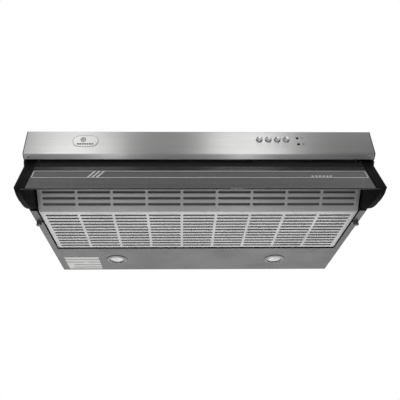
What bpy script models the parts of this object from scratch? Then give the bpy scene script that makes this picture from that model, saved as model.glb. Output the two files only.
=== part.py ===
"""Under cabinet range hood, 900 mm wide, with a glass visor, a drop-down grille and two blowers.

The driving dimensions are in millimetres and the meshes in metres. The origin is the centre of the
top face. X runs along the width, Y from the front to the wall, and Z up. Depths are measured back
from the front of the fascia.
"""

from math import asin, cos, degrees, pi, radians, sin, sqrt, tan

import bmesh
import bpy
from mathutils import Vector

MM = 0.001
GAP = 0.3

# Shell
WIDTH = 900.0
DEPTH = 530.0
HEIGHT = 168.0
SHEET = 1.0
END_CAP = 2.0
SHELL_FRONT = 18.0
SIDE_STEP = -80.6
CHAMFER = [(15.6, -83.4), (27.5, -97.0), (116.0, -HEIGHT)]
FLANGE_WIDTH = 17.5
FLANGE_START = 126.0

# Fascia
FASCIA_FOLD_RADIUS = 6.0
FASCIA_FOLD_CENTRE = (6.0, -68.6)
LIP_ANGLE = 30.0
LIP_LENGTH = 12.4
LIP_SCREW_X = 437.0
BADGE_CENTRE = (-295.0, -32.5)
BADGE_SIZE = (66.0, 36.0)

# Controls
BUTTON_X = [155.0, 178.3, 201.7, 225.0]
BUTTON_Z = -27.0
BUTTON_RADIUS = 8.0
BUTTON_PROUD = 6.0
INDICATORS = {"upper": (254.5, -21.8), "lower": (255.8, -41.6)}
INDICATOR_RADIUS = 3.6
SWITCH_BOX = (140.0, 270.0, 5.5, 34.0, -58.0, -10.0)

# Visor, in its own directions: s runs down the glass and n points out of its front
VISOR_AXIS = (42.0, -85.0)
VISOR_LEAN = 20.8
GLASS_S = (-8.5, 115.6)
GLASS_N = (13.1, 17.1)
GLASS_HALF_WIDTH = 430.6
RAIL_N = 3.0
RAIL_S_END = 6.0
CHEEK_X = (431.0, 445.0)
CHEEK_BAR_X = 421.0
CHEEK_RADIUS = 108.0
CHEEK_RISE = 0.35
CHEEK_SWEEP = (-23.0, 62.0)
VISOR_PIN_RADIUS = 3.5
VISOR_PIN_START = 438.4

# Grille
GRILLE_HALF_WIDTH = 428.0
GRILLE_SHEET = 1.0
GRILLE_BEND = 128.5
GRILLE_REAR = 351.0
GRILLE_FRONT_LENGTH = 104.0
GRILLE_FRONT_SLOPE = 40.3
GRILLE_EDGE = 8.0
BAY_PITCH = 93.0
BAYS = 9
RIB = 10.0
SLOT = 6.6
FRONT_ROWS = (5, 20.5, 17.0)
BOTTOM_ROWS = (12, 22.1, 17.0)
GRILLE_AXIS = (348.0, -163.0)
GRILLE_PIN_RADIUS = 2.0
MAT_LIFT = (2.2, 7.2)
BRACKET_X = 433.0
BRACKET_SHEET = 2.0
BRACKET_FOOT = 28.0
BRACKET_LIFT = 1.4
LATCH = (442.0, 188.0)
LATCH_RADIUS = 7.2
LATCH_THICKNESS = 3.0
LATCH_KNOB = (7.0, 7.0)

# Lamps and rating plate
LAMP = (258.0, 445.0)
LAMP_HOLE = 30.0
LAMP_DEPTH = 48.0
LAMP_PLATE_FRONT = 362.5
RATING = (-427.0, -316.0, 422.0, 519.0)

# Blowers
BLOWER = (215.0, 255.0)
SCROLL_Z = (-112.0, -4.0)
SCROLL_WALL = 1.2
SCROLL_RADII = (82.0, 118.0)
SCROLL_ANGLES = (140.0, 450.0)
SCROLL_MOUTH_X = 89.0
INLET_RADIUS = 62.0
IMPELLER_RADIUS = 72.0
IMPELLER_WALL = 8.0
IMPELLER_Z = (-104.0, -20.0)
BLADES = 18
MOTOR_RADIUS = 38.0
MOTOR_TOP = -60.0
SHAFT_RADIUS = 4.0

# Outlet
OUTLET_DEPTH = 385.0
COLLAR_RADIUS = 75.0
COLLAR_WALL = 1.7
COLLAR_HEIGHT = 45.0
DAMPER_AXIS_Z = 21.0
DAMPER_SEAT_Z = (16.0, 17.5)
DAMPER_SHEET = 1.2
GLAND = (-390.0, 500.0)
TERMINAL_BOX = (-435.0, -345.0, 385.0, 465.0, -45.0, -1.3)

FRONT = -DEPTH / 2


def back(depth):
    """Y of a place that lies depth behind the front of the fascia."""
    return FRONT + depth


def visor_point(s, n):
    """Depth and height of a point s down the glass and n in front of the visor's axis."""
    lean = radians(VISOR_LEAN)
    depth = VISOR_AXIS[0] - s * sin(lean) - n * cos(lean)
    height = VISOR_AXIS[1] - s * cos(lean) + n * sin(lean)
    return depth, height


def round_the_visor_axis(radius, angle):
    """Depth and height at a radius from the visor's axis, angle degrees back from straight down."""
    turn = radians(angle)
    return VISOR_AXIS[0] + radius * sin(turn), VISOR_AXIS[1] - radius * cos(turn)


def steps(start, end, count):
    return [start + (end - start) * i / count for i in range(count + 1)]


# Materials ---------------------------------------------------------------------------------------

FINISHES = {
    "stainless": ((0.62, 0.62, 0.61), 0.30, 1.0),
    "galvanised": ((0.52, 0.53, 0.54), 0.45, 1.0),
    "silver_paint": ((0.66, 0.66, 0.66), 0.42, 0.0),
    "grey_paint": ((0.36, 0.36, 0.36), 0.50, 0.0),
    "black_plastic": ((0.02, 0.02, 0.02), 0.40, 0.0),
    "smoked_glass": ((0.06, 0.06, 0.06), 0.05, 0.0),
    "frosted_lens": ((0.85, 0.85, 0.82), 0.35, 0.0),
    "latch_plastic": ((0.11, 0.11, 0.11), 0.40, 0.0),
    "dark_lens": ((0.03, 0.03, 0.03), 0.12, 0.0),
    "aluminium": ((0.62, 0.63, 0.64), 0.40, 1.0),
    "motor_paint": ((0.10, 0.11, 0.12), 0.50, 0.0),
    "chrome": ((0.75, 0.75, 0.75), 0.10, 1.0),
    "white_label": ((0.82, 0.82, 0.80), 0.55, 0.0),
    "filter_felt": ((0.42, 0.42, 0.41), 0.90, 0.0),
    "steel": ((0.45, 0.45, 0.46), 0.35, 1.0),
    "white_plastic": ((0.80, 0.80, 0.78), 0.50, 0.0),
}


def material_for(name, finish):
    colour, roughness, metallic = FINISHES[finish]
    made = bpy.data.materials.new(f"{name}_{finish}")
    made.use_nodes = True
    shader = made.node_tree.nodes["Principled BSDF"]
    shader.inputs["Base Color"].default_value = (*colour, 1.0)
    shader.inputs["Roughness"].default_value = roughness
    shader.inputs["Metallic"].default_value = metallic
    return made


# Shapes, each a list of points in millimetres and a list of faces --------------------------------


def prism(outline, start, end, place):
    """An outline carried from start to end. place turns (a, b, along) into x, y, z."""
    count = len(outline)
    points = [place(a, b, start) for a, b in outline] + [place(a, b, end) for a, b in outline]
    walls = [(i, (i + 1) % count, (i + 1) % count + count, i + count) for i in range(count)]
    return points, [tuple(range(count)), tuple(range(count, 2 * count))] + walls


def prism_x(outline, x0, x1):
    """An outline of depths and heights, carried along X."""
    return prism(outline, x0, x1, lambda depth, z, x: (x, back(depth), z))


def prism_z(outline, z0, z1):
    """An outline of x and depth, carried along Z."""
    return prism(outline, z0, z1, lambda x, depth, z: (x, back(depth), z))


def box(x0, x1, depth0, depth1, z0, z1):
    return prism_z([(x0, depth0), (x1, depth0), (x1, depth1), (x0, depth1)], z0, z1)


def turned(profile, centre, axis, segments=24):
    """A closed profile of (radius, along) turned about an axis through centre = (x, depth, z)."""
    x, y, z = centre[0], back(centre[1]), centre[2]
    points, rings = [], []
    for radius, along in profile:
        turns = 1 if radius == 0 else segments
        rings.append([len(points) + i for i in range(turns)])
        for i in range(turns):
            a, b = radius * cos(2 * pi * i / segments), radius * sin(2 * pi * i / segments)
            da, db, dc = {"X": (along, a, b), "Y": (b, along, a), "Z": (a, b, along)}[axis]
            points.append((x + da, y + db, z + dc))
    faces = []
    for first, second in zip(rings, rings[1:] + rings[:1]):
        for i in range(segments if len(first) + len(second) > 2 else 0):
            corners = [first[i % len(first)], first[(i + 1) % len(first)]]
            corners += [second[(i + 1) % len(second)], second[i % len(second)]]
            unique = list(dict.fromkeys(corners))
            if len(unique) > 2:
                faces.append(tuple(unique))
    return points, faces


def lattice(outer, inner, is_solid, wraps=False):
    """A sheet between two grids of points, left out where is_solid(u, v) is false."""
    columns = len(outer) if wraps else len(outer) - 1
    rows = len(outer[0]) - 1
    points, index = [], {}

    def corner(side, u, v):
        key = (side, u % len(outer), v)
        if key not in index:
            index[key] = len(points)
            points.append((outer, inner)[side][key[1]][v])
        return index[key]

    def filled(u, v):
        if wraps:
            u %= columns
        return 0 <= u < columns and 0 <= v < rows and is_solid(u, v)

    faces = []
    for u in range(columns):
        for v in range(rows):
            if not filled(u, v):
                continue
            ring = [(u, v), (u + 1, v), (u + 1, v + 1), (u, v + 1)]
            beyond = [(u, v - 1), (u + 1, v), (u, v + 1), (u - 1, v)]
            faces.append(tuple(corner(0, *c) for c in ring))
            faces.append(tuple(corner(1, *c) for c in reversed(ring)))
            for i, neighbour in enumerate(beyond):
                if not filled(*neighbour):
                    a, b = ring[i], ring[(i + 1) % 4]
                    faces.append((corner(0, *b), corner(0, *a), corner(1, *a), corner(1, *b)))
    return points, faces


def rounded(outline_centre, size, radius, per_corner=4):
    """A rectangle with round corners, as (a, b) points."""
    a0, b0 = outline_centre
    half_a, half_b = size[0] / 2 - radius, size[1] / 2 - radius
    points = []
    for corner, (sign_a, sign_b) in enumerate([(1, 1), (-1, 1), (-1, -1), (1, -1)]):
        for angle in steps(90 * corner, 90 * corner + 90, per_corner):
            a = a0 + sign_a * half_a + radius * cos(radians(angle))
            b = b0 + sign_b * half_b + radius * sin(radians(angle))
            points.append((a, b))
    return points


# Objects -----------------------------------------------------------------------------------------


def new_object(name, shape, origin=(0.0, 0.0, 0.0)):
    """A mesh object whose origin sits at origin = (x, depth, z), with its faces pointing out."""
    points, faces = shape
    pivot = Vector((origin[0], back(origin[1]) if any(origin) else 0.0, origin[2])) * MM
    mesh = bpy.data.meshes.new(name)
    mesh.from_pydata([Vector(p) * MM - pivot for p in points], [], faces)
    edit = bmesh.new()
    edit.from_mesh(mesh)
    bmesh.ops.recalc_face_normals(edit, faces=edit.faces)
    edit.to_mesh(mesh)
    edit.free()
    item = bpy.data.objects.new(name, mesh)
    item.location = pivot
    bpy.context.scene.collection.objects.link(item)
    return item


def piece(name, finish, shape, origin=(0.0, 0.0, 0.0), smooth=False):
    item = new_object(name, shape, origin)
    item.data.materials.append(material_for(name, finish))
    if smooth:
        item.data.shade_smooth()
        item.data.set_sharp_from_angle(angle=radians(40))
    return item


def combine(item, shape, operation):
    """Cut a shape away from an object, or unite it with the object."""
    count = len(item.modifiers)
    tool = new_object(f"{item.name}_tool_{count}", shape)
    tool.hide_render = True
    tool.display_type = "WIRE"
    modifier = item.modifiers.new(f"{operation.lower()}_{count}", "BOOLEAN")
    modifier.operation = operation
    modifier.solver = "EXACT"
    modifier.object = tool


def cut(item, shape):
    combine(item, shape, "DIFFERENCE")


def unite(item, shape):
    combine(item, shape, "UNION")


def disc(radius, a0, b0, count=24):
    turns = steps(0.0, 2 * pi, count)[:-1]
    return [(a0 + radius * cos(turn), b0 + radius * sin(turn)) for turn in turns]


def sides():
    return (("left", -1), ("right", 1))


# Shell -------------------------------------------------------------------------------------------


def fascia_path(inset):
    """Depths and heights down the fascia's face, round the fold and back along its lip."""
    lip = radians(LIP_ANGLE)
    centre_depth, centre_z = FASCIA_FOLD_CENTRE
    radius = FASCIA_FOLD_RADIUS - inset
    path = []
    for angle in steps(180.0, 270.0 - LIP_ANGLE, 6):
        path.append((centre_depth + radius * cos(radians(angle)), centre_z + radius * sin(radians(angle))))
    depth, z = path[-1]
    path.append((depth + LIP_LENGTH * cos(lip), z - LIP_LENGTH * sin(lip)))
    return path


def front_fascia():
    outer = [(SHELL_FRONT, 0.0), (0.0, 0.0)] + fascia_path(0.0)
    inner = [(SHELL_FRONT, -SHEET), (SHEET, -SHEET)] + fascia_path(SHEET)
    reach = WIDTH / 2 - END_CAP - GAP
    fascia = piece("front_fascia", "stainless", prism_x(outer + inner[::-1], -reach, reach))
    for x in BUTTON_X:
        cut(fascia, hole_y(x, BUTTON_Z, BUTTON_RADIUS + 0.6))
    for x, z in INDICATORS.values():
        cut(fascia, hole_y(x, z, INDICATOR_RADIUS + 0.3))


def hole_y(x, z, radius, depth0=-5.0, depth1=8.0):
    """A round cutter along Y."""
    outline = disc(radius, x, z)
    return prism(outline, back(depth0), back(depth1), lambda a, b, y: (a, y, b))


def fascia_ends():
    face = fascia_path(0.0)
    outline = [(0.0, 0.0)] + face + [(SHELL_FRONT, face[-1][1] + 1.0), (SHELL_FRONT, 0.0)]
    for side, sign in sides():
        x0, x1 = sign * (WIDTH / 2 - END_CAP), sign * WIDTH / 2
        piece(f"fascia_end_{side}", "black_plastic", prism_x(outline, x0, x1))


def fascia_screws():
    """A pan head screw up through the lip near each end."""
    path = fascia_path(0.0)
    middle = ((path[-2][0] + path[-1][0]) / 2, (path[-2][1] + path[-1][1]) / 2)
    for side, sign in sides():
        centre = (sign * LIP_SCREW_X, *middle)
        profile = [(0.0, -2.2), (2.2, -1.9), (3.2, -1.0), (3.2, -GAP), (0.0, -GAP)]
        head = new_object(f"fascia_screw_{side}", turned(profile, centre, "Z", 12), centre)
        head.rotation_euler = (-radians(LIP_ANGLE), 0.0, 0.0)
        head.data.materials.append(material_for(head.name, "steel"))


def badge():
    """A plain name bar with no marks."""
    outline = rounded(BADGE_CENTRE, BADGE_SIZE, BADGE_SIZE[1] / 2 - 0.5)
    shape = prism(outline, back(-1.1), back(-GAP), lambda a, b, y: (a, y, b))
    piece("name_bar", "chrome", shape)


def top_panel():
    half = WIDTH / 2 - GAP
    panel = piece("top_panel", "galvanised", box(-half, half, SHELL_FRONT + GAP, DEPTH, -SHEET, 0.0))
    cut(panel, prism_z(disc(COLLAR_RADIUS + 0.6, 0.0, OUTLET_DEPTH, 40), -5.0, 5.0))
    cut(panel, prism_z(disc(8.3, *GLAND, 16), -5.0, 5.0))
    for x in (-350.0, 350.0):
        for depth in (110.0, 430.0):
            cut(panel, prism_z(keyhole(x, depth), -5.0, 5.0))


def keyhole(x, depth, head=6.0, slot=2.75, length=14.0):
    """A round hole for a screw head with a slot that runs forward from it."""
    opening = asin(slot / head)
    points = []
    for angle in steps(degrees(opening) - 90.0, 270.0 - degrees(opening), 14):
        points.append((x + head * cos(radians(angle)), depth + head * sin(radians(angle))))
    for angle in steps(180.0, 360.0, 6):
        points.append((x + slot * cos(radians(angle)), depth - length + slot * sin(radians(angle))))
    return points


def side_panels():
    step = LAMP_PLATE_FRONT - GAP
    top = -SHEET - GAP
    outline = [(SHELL_FRONT + GAP, top), (SHELL_FRONT + GAP, SIDE_STEP)] + CHAMFER
    outline += [(step, -HEIGHT), (step, -HEIGHT + SHEET + GAP), (DEPTH, -HEIGHT + SHEET + GAP), (DEPTH, top)]
    outer = WIDTH / 2 - GAP
    for side, sign in sides():
        shape = prism_x(outline, sign * (outer - SHEET), sign * outer)
        panel = piece(f"side_panel_{side}", "grey_paint", shape)
        inner, middle = sorted((sign * (outer - FLANGE_WIDTH), sign * (outer - SHEET / 2)))
        unite(panel, box(inner, middle, FLANGE_START, step, -HEIGHT, -HEIGHT + SHEET))


def rear_panel():
    half = WIDTH / 2 - SHEET - 2 * GAP
    shape = box(-half, half, DEPTH - SHEET, DEPTH, -HEIGHT + SHEET + GAP, -SHEET - GAP)
    piece("rear_panel", "galvanised", shape)


def lamp_panel():
    half = WIDTH / 2 - GAP
    shape = box(-half, half, LAMP_PLATE_FRONT, DEPTH, -HEIGHT, -HEIGHT + SHEET)
    panel = piece("lamp_panel", "grey_paint", shape)
    for _, sign in sides():
        hole = disc(LAMP_HOLE, sign * LAMP[0], LAMP[1], 32)
        cut(panel, prism_z(hole, -HEIGHT - 5.0, -HEIGHT + 5.0))
    x0, x1, depth0, depth1 = RATING
    plate = rounded(((x0 + x1) / 2, (depth0 + depth1) / 2), (x1 - x0, depth1 - depth0), 3.0, 2)
    piece("rating_plate", "white_label", prism_z(plate, -HEIGHT - 2 * GAP, -HEIGHT - GAP))


# Controls ----------------------------------------------------------------------------------------


def controls():
    x0, x1, depth0, depth1, z0, z1 = SWITCH_BOX
    wall = 1.6
    body = piece("switch_box", "white_plastic", box(*SWITCH_BOX))
    cut(body, box(x0 + wall, x1 - wall, depth0 + wall, depth1 + 5.0, z0 + wall, z1 - wall))
    for number, x in enumerate(BUTTON_X, 1):
        cut(body, hole_y(x, BUTTON_Z, 4.6, depth0 - 2.0, depth0 + 4.0))
        cap, stem, front = BUTTON_RADIUS, 4.0, -BUTTON_PROUD
        profile = [(0.0, front), (cap - 1.4, front), (cap - 0.4, front + 0.4), (cap, front + 1.4)]
        profile += [(cap, 1.6), (stem, 1.6), (stem, 16.0), (0.0, 16.0)]
        place = (x, 0.0, BUTTON_Z)
        piece(f"button_{number}", "chrome", turned(profile, place, "Y"), place, smooth=True)
    for name, (x, z) in INDICATORS.items():
        lens, collar = INDICATOR_RADIUS, INDICATOR_RADIUS + 1.2
        profile = [(0.0, -1.2), (lens * 0.6, -0.9), (lens, 0.0), (lens, 1.3)]
        profile += [(collar, 1.3), (collar, 3.0), (0.0, 3.0)]
        piece(f"indicator_{name}", "dark_lens", turned(profile, (x, 0.0, z), "Y", 16), smooth=True)


# Visor -------------------------------------------------------------------------------------------


def visor_strip(s0, s1, n0, n1):
    return [visor_point(s0, n0), visor_point(s1, n0), visor_point(s1, n1), visor_point(s0, n1)]


def visor():
    s0, s1 = GLASS_S
    n0, n1 = GLASS_N
    pivot = (0.0, *VISOR_AXIS)
    half = GLASS_HALF_WIDTH
    piece("visor_glass", "smoked_glass", prism_x(visor_strip(s0, s1, n0, n1), -half, half), pivot)
    rail = visor_strip(s0, RAIL_S_END, RAIL_N, n0 - GAP)
    piece("visor_rail", "black_plastic", prism_x(rail, -half, half), pivot)
    for side, sign in sides():
        visor_cheek(side, sign, pivot)
        visor_pin(side, sign)


def visor_cheek(side, sign, pivot):
    """A sector plate beside the glass with a bar that laps over the glass's end."""
    s0, s1 = GLASS_S
    front, bar_front = GLASS_N[1] + GAP, GLASS_N[1] + 3.4
    outline = [visor_point(s0, front + 1.0), visor_point(s1, front + 1.0), visor_point(s1, 11.0)]
    for angle in steps(*CHEEK_SWEEP, 17):
        outline.append(round_the_visor_axis(CHEEK_RADIUS + CHEEK_RISE * max(0.0, -angle), angle))
    outline += [round_the_visor_axis(14.0, angle) for angle in steps(80.0, 190.0, 5)]
    inner, outer = sign * CHEEK_X[0], sign * CHEEK_X[1]
    cheek = piece(f"visor_cheek_{side}", "black_plastic", prism_x(outline, inner, outer), pivot)
    bar = [visor_point(s0, front), visor_point(s1, front)]
    bar += [visor_point(s1 - 1.0, bar_front), visor_point(s0, bar_front)]
    unite(cheek, prism_x(bar, sign * CHEEK_BAR_X, outer))
    bore = disc(VISOR_PIN_RADIUS + 0.4, *VISOR_AXIS, 16)
    cut(cheek, prism_x(bore, sign * (VISOR_PIN_START - 0.4), sign * (CHEEK_X[1] + 5.0)))


def visor_pin(side, sign):
    """The pin that the cheek turns on, with a shoulder against the side panel."""
    start, shoulder, end = VISOR_PIN_START, CHEEK_X[1] + 0.4, WIDTH / 2 - SHEET - 2 * GAP
    thin, wide = VISOR_PIN_RADIUS, 2 * VISOR_PIN_RADIUS
    profile = [(0.0, start), (thin, start), (thin, shoulder)]
    profile += [(wide, shoulder), (wide, end), (0.0, end)]
    shape = turned([(radius, sign * along) for radius, along in profile], (0.0, *VISOR_AXIS), "X", 16)
    piece(f"visor_pivot_{side}", "steel", shape, smooth=True)


# Grille ------------------------------------------------------------------------------------------


def grille_path():
    """Places down the front face and back along the bottom, each (depth, z, slot starts here)."""
    slope = radians(GRILLE_FRONT_SLOPE)
    count, first, pitch = FRONT_ROWS
    along = [GRILLE_FRONT_LENGTH]
    for row in reversed(range(count)):
        along += [first + row * pitch + SLOT / 2, first + row * pitch - SLOT / 2]
    path = [(GRILLE_BEND - t * cos(slope), -HEIGHT + t * sin(slope)) for t in along + [0.0]]
    count, first, pitch = BOTTOM_ROWS
    for row in range(count):
        middle = GRILLE_BEND + first + row * pitch
        path += [(middle - SLOT / 2, -HEIGHT), (middle + SLOT / 2, -HEIGHT)]
    return path + [(GRILLE_REAR, -HEIGHT)]


def grille_normal(depth):
    """The way into the hood from the grille, stretched at the bend so that the sheet keeps its thickness."""
    slope = radians(GRILLE_FRONT_SLOPE)
    if depth > GRILLE_BEND + 0.01:
        return 0.0, 1.0
    if depth < GRILLE_BEND - 0.01:
        return sin(slope), cos(slope)
    return tan(slope / 2), 1.0


def grille_columns():
    """Across the width: x of the outer and inner skin, and how far each is folded up."""
    edge, sheet = GRILLE_HALF_WIDTH, GRILLE_SHEET
    across = []
    for bay in range(BAYS):
        middle = (bay - (BAYS - 1) / 2) * BAY_PITCH
        across += [middle - (BAY_PITCH - RIB) / 2, middle + (BAY_PITCH - RIB) / 2]
    columns = [(-edge, GRILLE_EDGE, -edge + sheet, GRILLE_EDGE), (-edge, 0.0, -edge + sheet, sheet)]
    columns += [(x, 0.0, x, sheet) for x in across]
    return columns + [(edge, 0.0, edge - sheet, sheet), (edge, GRILLE_EDGE, edge - sheet, GRILLE_EDGE)]


def grille():
    path = grille_path()
    outer, inner = [], []
    for x_out, up_out, x_in, up_in in grille_columns():
        outer.append([])
        inner.append([])
        for depth, z in path:
            normal = grille_normal(depth)
            outer[-1].append((x_out, back(depth + up_out * normal[0]), z + up_out * normal[1]))
            inner[-1].append((x_in, back(depth + up_in * normal[0]), z + up_in * normal[1]))
    front_count = FRONT_ROWS[0]
    bend_row = 2 * front_count

    def is_solid(u, v):
        in_bay = 2 <= u < 2 + 2 * BAYS and u % 2 == 0
        in_slot = v % 2 == 1 if v < bend_row else v > bend_row + 1 and v % 2 == 0
        return not (in_bay and in_slot)

    pivot = (0.0, *GRILLE_AXIS)
    piece("filter_grille", "silver_paint", lattice(outer, inner, is_solid), pivot)
    filter_mat(pivot)
    for side, sign in sides():
        start, end = GRILLE_HALF_WIDTH + GAP, BRACKET_X + 4.8
        pin = [(0.0, start), (GRILLE_PIN_RADIUS, start), (GRILLE_PIN_RADIUS, end), (0.0, end)]
        shape = turned([(radius, sign * along) for radius, along in pin], (0.0, *GRILLE_AXIS), "X", 12)
        piece(f"grille_hinge_pin_{side}", "steel", shape, pivot, smooth=True)
        hinge_bracket(side, sign)
        latch(side, sign)


def filter_mat(pivot):
    """The grease mat that lies inside the grille and follows its bend."""
    low, high = MAT_LIFT
    slope = radians(GRILLE_FRONT_SLOPE)
    reach = GRILLE_FRONT_LENGTH - 3.0
    front = (GRILLE_BEND - reach * cos(slope), -HEIGHT + reach * sin(slope))
    outline = []
    for lift in (low, high):
        row = [(front[0] + lift * sin(slope), front[1] + lift * cos(slope))]
        row += [(GRILLE_BEND + lift * tan(slope / 2), -HEIGHT + lift), (GRILLE_REAR - 4.0, -HEIGHT + lift)]
        outline += row if lift == low else row[::-1]
    half = GRILLE_HALF_WIDTH - GRILLE_SHEET - 1.0
    piece("filter_mat", "filter_felt", prism_x(outline, -half, half), pivot)


def hinge_bracket(side, sign):
    """An angle plate that hangs from the side panel and holds the grille's hinge pin."""
    x0, x1, end = BRACKET_X, BRACKET_X + BRACKET_SHEET, WIDTH / 2 - SHEET - 2 * GAP
    top = BRACKET_FOOT - HEIGHT
    low = top - BRACKET_SHEET
    foot = BRACKET_LIFT - HEIGHT
    outline = [(x0, foot), (x1, foot), (x1, low), (end, low), (end, top), (x0, top)]
    outline = [(sign * x, z) for x, z in outline]
    near, far = GRILLE_AXIS[0] - 6.0, LAMP_PLATE_FRONT - 0.5
    shape = prism(outline, back(near), back(far), lambda x, z, y: (x, y, z))
    bracket = piece(f"hinge_bracket_{side}", "galvanised", shape)
    bore = disc(GRILLE_PIN_RADIUS + 0.5, *GRILLE_AXIS, 16)
    cut(bracket, prism_x(bore, sign * (x0 - 2.0), sign * (x1 + 4.0)))


def latch(side, sign):
    """A turn clip under the side flange, and the screw that it turns on."""
    x, depth = sign * LATCH[0], LATCH[1]
    reach = LATCH[0] - GRILLE_HALF_WIDTH - 2 * GAP
    outline = []
    for angle in steps(-130.0, 130.0, 12):
        turn = radians(angle)
        outline.append((x + sign * LATCH_RADIUS * cos(turn), depth + LATCH_RADIUS * sin(turn)))
    tip, shoulder = x - sign * reach, x - sign * (reach - 1.5)
    outline += [(shoulder, depth + 4.2), (tip, depth + 2.7), (tip, depth - 2.7), (shoulder, depth - 4.2)]
    pivot = (x, depth, -HEIGHT)
    top, low = -HEIGHT - GAP, -HEIGHT - GAP - LATCH_THICKNESS
    clip = piece(f"grille_latch_{side}", "latch_plastic", prism_z(outline, low, top), pivot)
    knob_radius, knob_rise = LATCH_KNOB
    unite(clip, prism_z(disc(knob_radius, x, depth), low - knob_rise, low + 1.0))
    cut(clip, prism_z(disc(2.2, x, depth, 12), low - knob_rise - 3.0, top + 3.0))
    head = low - knob_rise - GAP
    profile = [(0.0, head - 1.8), (2.6, head - 1.5), (3.6, head - 0.6), (3.6, head)]
    profile += [(1.8, head), (1.8, top), (0.0, top)]
    shape = turned(profile, (x, depth, 0.0), "Z", 12)
    piece(f"latch_screw_{side}", "steel", shape, smooth=True)


# Lamps -------------------------------------------------------------------------------------------


def lamps():
    """Each lamp: a bezel round its lens, and a cup over the panel's hole with a bulb hung in it."""
    floor = -HEIGHT
    hole, wall = LAMP_HOLE, 1.5
    bezel = [(22.6, floor - 1.8), (24.6, floor - 2.8), (32.0, floor - 2.4), (33.5, floor - 1.2)]
    bezel += [(33.5, floor - GAP), (29.3, floor - GAP), (29.3, floor + 12.0), (27.5, floor + 12.0)]
    bezel += [(27.5, floor + 0.2), (22.6, floor - 0.6)]
    lens = [(0.0, floor - 2.4), (11.0, floor - 2.0), (18.0, floor - 1.0), (22.0, floor + 0.6)]
    lens += [(27.1, floor + 1.1), (27.1, floor + 3.5), (0.0, floor + 3.5)]
    rim, top = floor + SHEET + GAP, floor + LAMP_DEPTH
    cup = [(hole, rim), (hole + wall, rim), (hole + wall, top), (0.0, top)]
    cup += [(0.0, top - wall), (hole, top - wall)]
    seat = top - wall - GAP
    bulb = [(0.0, seat - 30.0), (5.0, seat - 28.5), (8.0, seat - 24.0), (8.0, seat - 10.0)]
    bulb += [(11.0, seat - 8.0), (11.0, seat), (0.0, seat)]
    parts = [("bezel", "chrome", bezel), ("lens", "frosted_lens", lens)]
    parts += [("housing", "galvanised", cup), ("bulb", "frosted_lens", bulb)]
    for side, sign in sides():
        centre = (sign * LAMP[0], LAMP[1], 0.0)
        for name, finish, profile in parts:
            piece(f"lamp_{name}_{side}", finish, turned(profile, centre, "Z"), smooth=True)


# Blowers -----------------------------------------------------------------------------------------


def scroll_outline(inset, mouth):
    """The spiral casing of the right-hand blower, with its outlet towards the middle of the hood."""
    x0, depth0 = BLOWER
    start, end = SCROLL_ANGLES
    points = []
    for angle in steps(start, end, 26):
        grown = (angle - start) / (end - start)
        radius = SCROLL_RADII[0] + grown * (SCROLL_RADII[1] - SCROLL_RADII[0]) - inset
        points.append((x0 + radius * cos(radians(angle)), depth0 + radius * sin(radians(angle))))
    cut_off = depth0 + SCROLL_RADII[0] * sin(radians(start)) + inset
    points += [(mouth, points[-1][1]), (mouth, cut_off)]
    if inset:
        points.append((points[0][0], cut_off))
    return points


def blowers():
    low, high = SCROLL_Z
    for side, sign in sides():
        centre = (sign * BLOWER[0], BLOWER[1], 0.0)
        mirrored = [(sign * x, depth) for x, depth in scroll_outline(0.0, SCROLL_MOUTH_X)]
        cavity = [(sign * x, depth) for x, depth in scroll_outline(SCROLL_WALL, SCROLL_MOUTH_X - 5.0)]
        casing = piece(f"scroll_{side}", "galvanised", prism_z(mirrored, low, high))
        cut(casing, prism_z(cavity, low + SCROLL_WALL, high - SCROLL_WALL))
        cut(casing, prism_z(disc(INLET_RADIUS, centre[0], centre[1], 32), low - 2.0, low + SCROLL_WALL + 1.0))
        impeller(side, centre)
        motor(side, centre, low)


def impeller(side, centre):
    """A cup whose wall is slotted into blades, with its closed end at the top."""
    wall_inner = IMPELLER_RADIUS - IMPELLER_WALL
    bore = SHAFT_RADIUS + 0.3
    low, high = IMPELLER_Z
    blade = [low, low + 5.0, high - 7.0]
    outer_profile = [(IMPELLER_RADIUS, z) for z in blade + [high]] + [(bore, high)]
    inner_profile = [(wall_inner, z) for z in blade + [high - 2.0]] + [(bore, high - 2.0)]
    grids = []
    for profile in (outer_profile, inner_profile):
        grid = []
        for i in range(2 * BLADES):
            a, b = cos(pi * i / BLADES), sin(pi * i / BLADES)
            x, y = centre[0], back(centre[1])
            grid.append([(x + radius * a, y + radius * b, z) for radius, z in profile])
        grids.append(grid)
    shape = lattice(*grids, lambda u, v: v != 1 or u % 2 == 0, wraps=True)
    piece(f"impeller_{side}", "aluminium", shape, centre)
    foot, tip = MOTOR_TOP + 0.4, -16.0
    shaft = [(0.0, foot), (SHAFT_RADIUS, foot), (SHAFT_RADIUS, tip), (0.0, tip)]
    piece(f"motor_shaft_{side}", "steel", turned(shaft, centre, "Z", 12), centre, smooth=True)


def motor(side, centre, floor):
    foot = floor - 2 * GAP
    wide, narrow, top = MOTOR_RADIUS, MOTOR_RADIUS - 6.0, MOTOR_TOP
    body = [(0.0, foot), (narrow, foot), (wide, foot + 6.0)]
    body += [(wide, top - 6.0), (narrow, top), (0.0, top)]
    piece(f"motor_{side}", "motor_paint", turned(body, centre, "Z"), smooth=True)
    hub, arm, reach = 26.0, 12.0, 78.0
    root = sqrt(hub**2 - (arm / 2) ** 2)
    outline = []
    for turn in (90.0, 210.0, 330.0):
        a, b = cos(radians(turn)), sin(radians(turn))
        for along, across in ((root, -arm / 2), (reach, -arm / 2), (reach, arm / 2), (root, arm / 2)):
            outline.append((centre[0] + along * a - across * b, centre[1] + along * b + across * a))
        for angle in (turn + 30.0, turn + 60.0, turn + 90.0):
            outline.append((centre[0] + hub * cos(radians(angle)), centre[1] + hub * sin(radians(angle))))
    piece(f"motor_bracket_{side}", "galvanised", prism_z(outline, foot - GAP - 1.8, foot - GAP))


# Outlet ------------------------------------------------------------------------------------------


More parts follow.
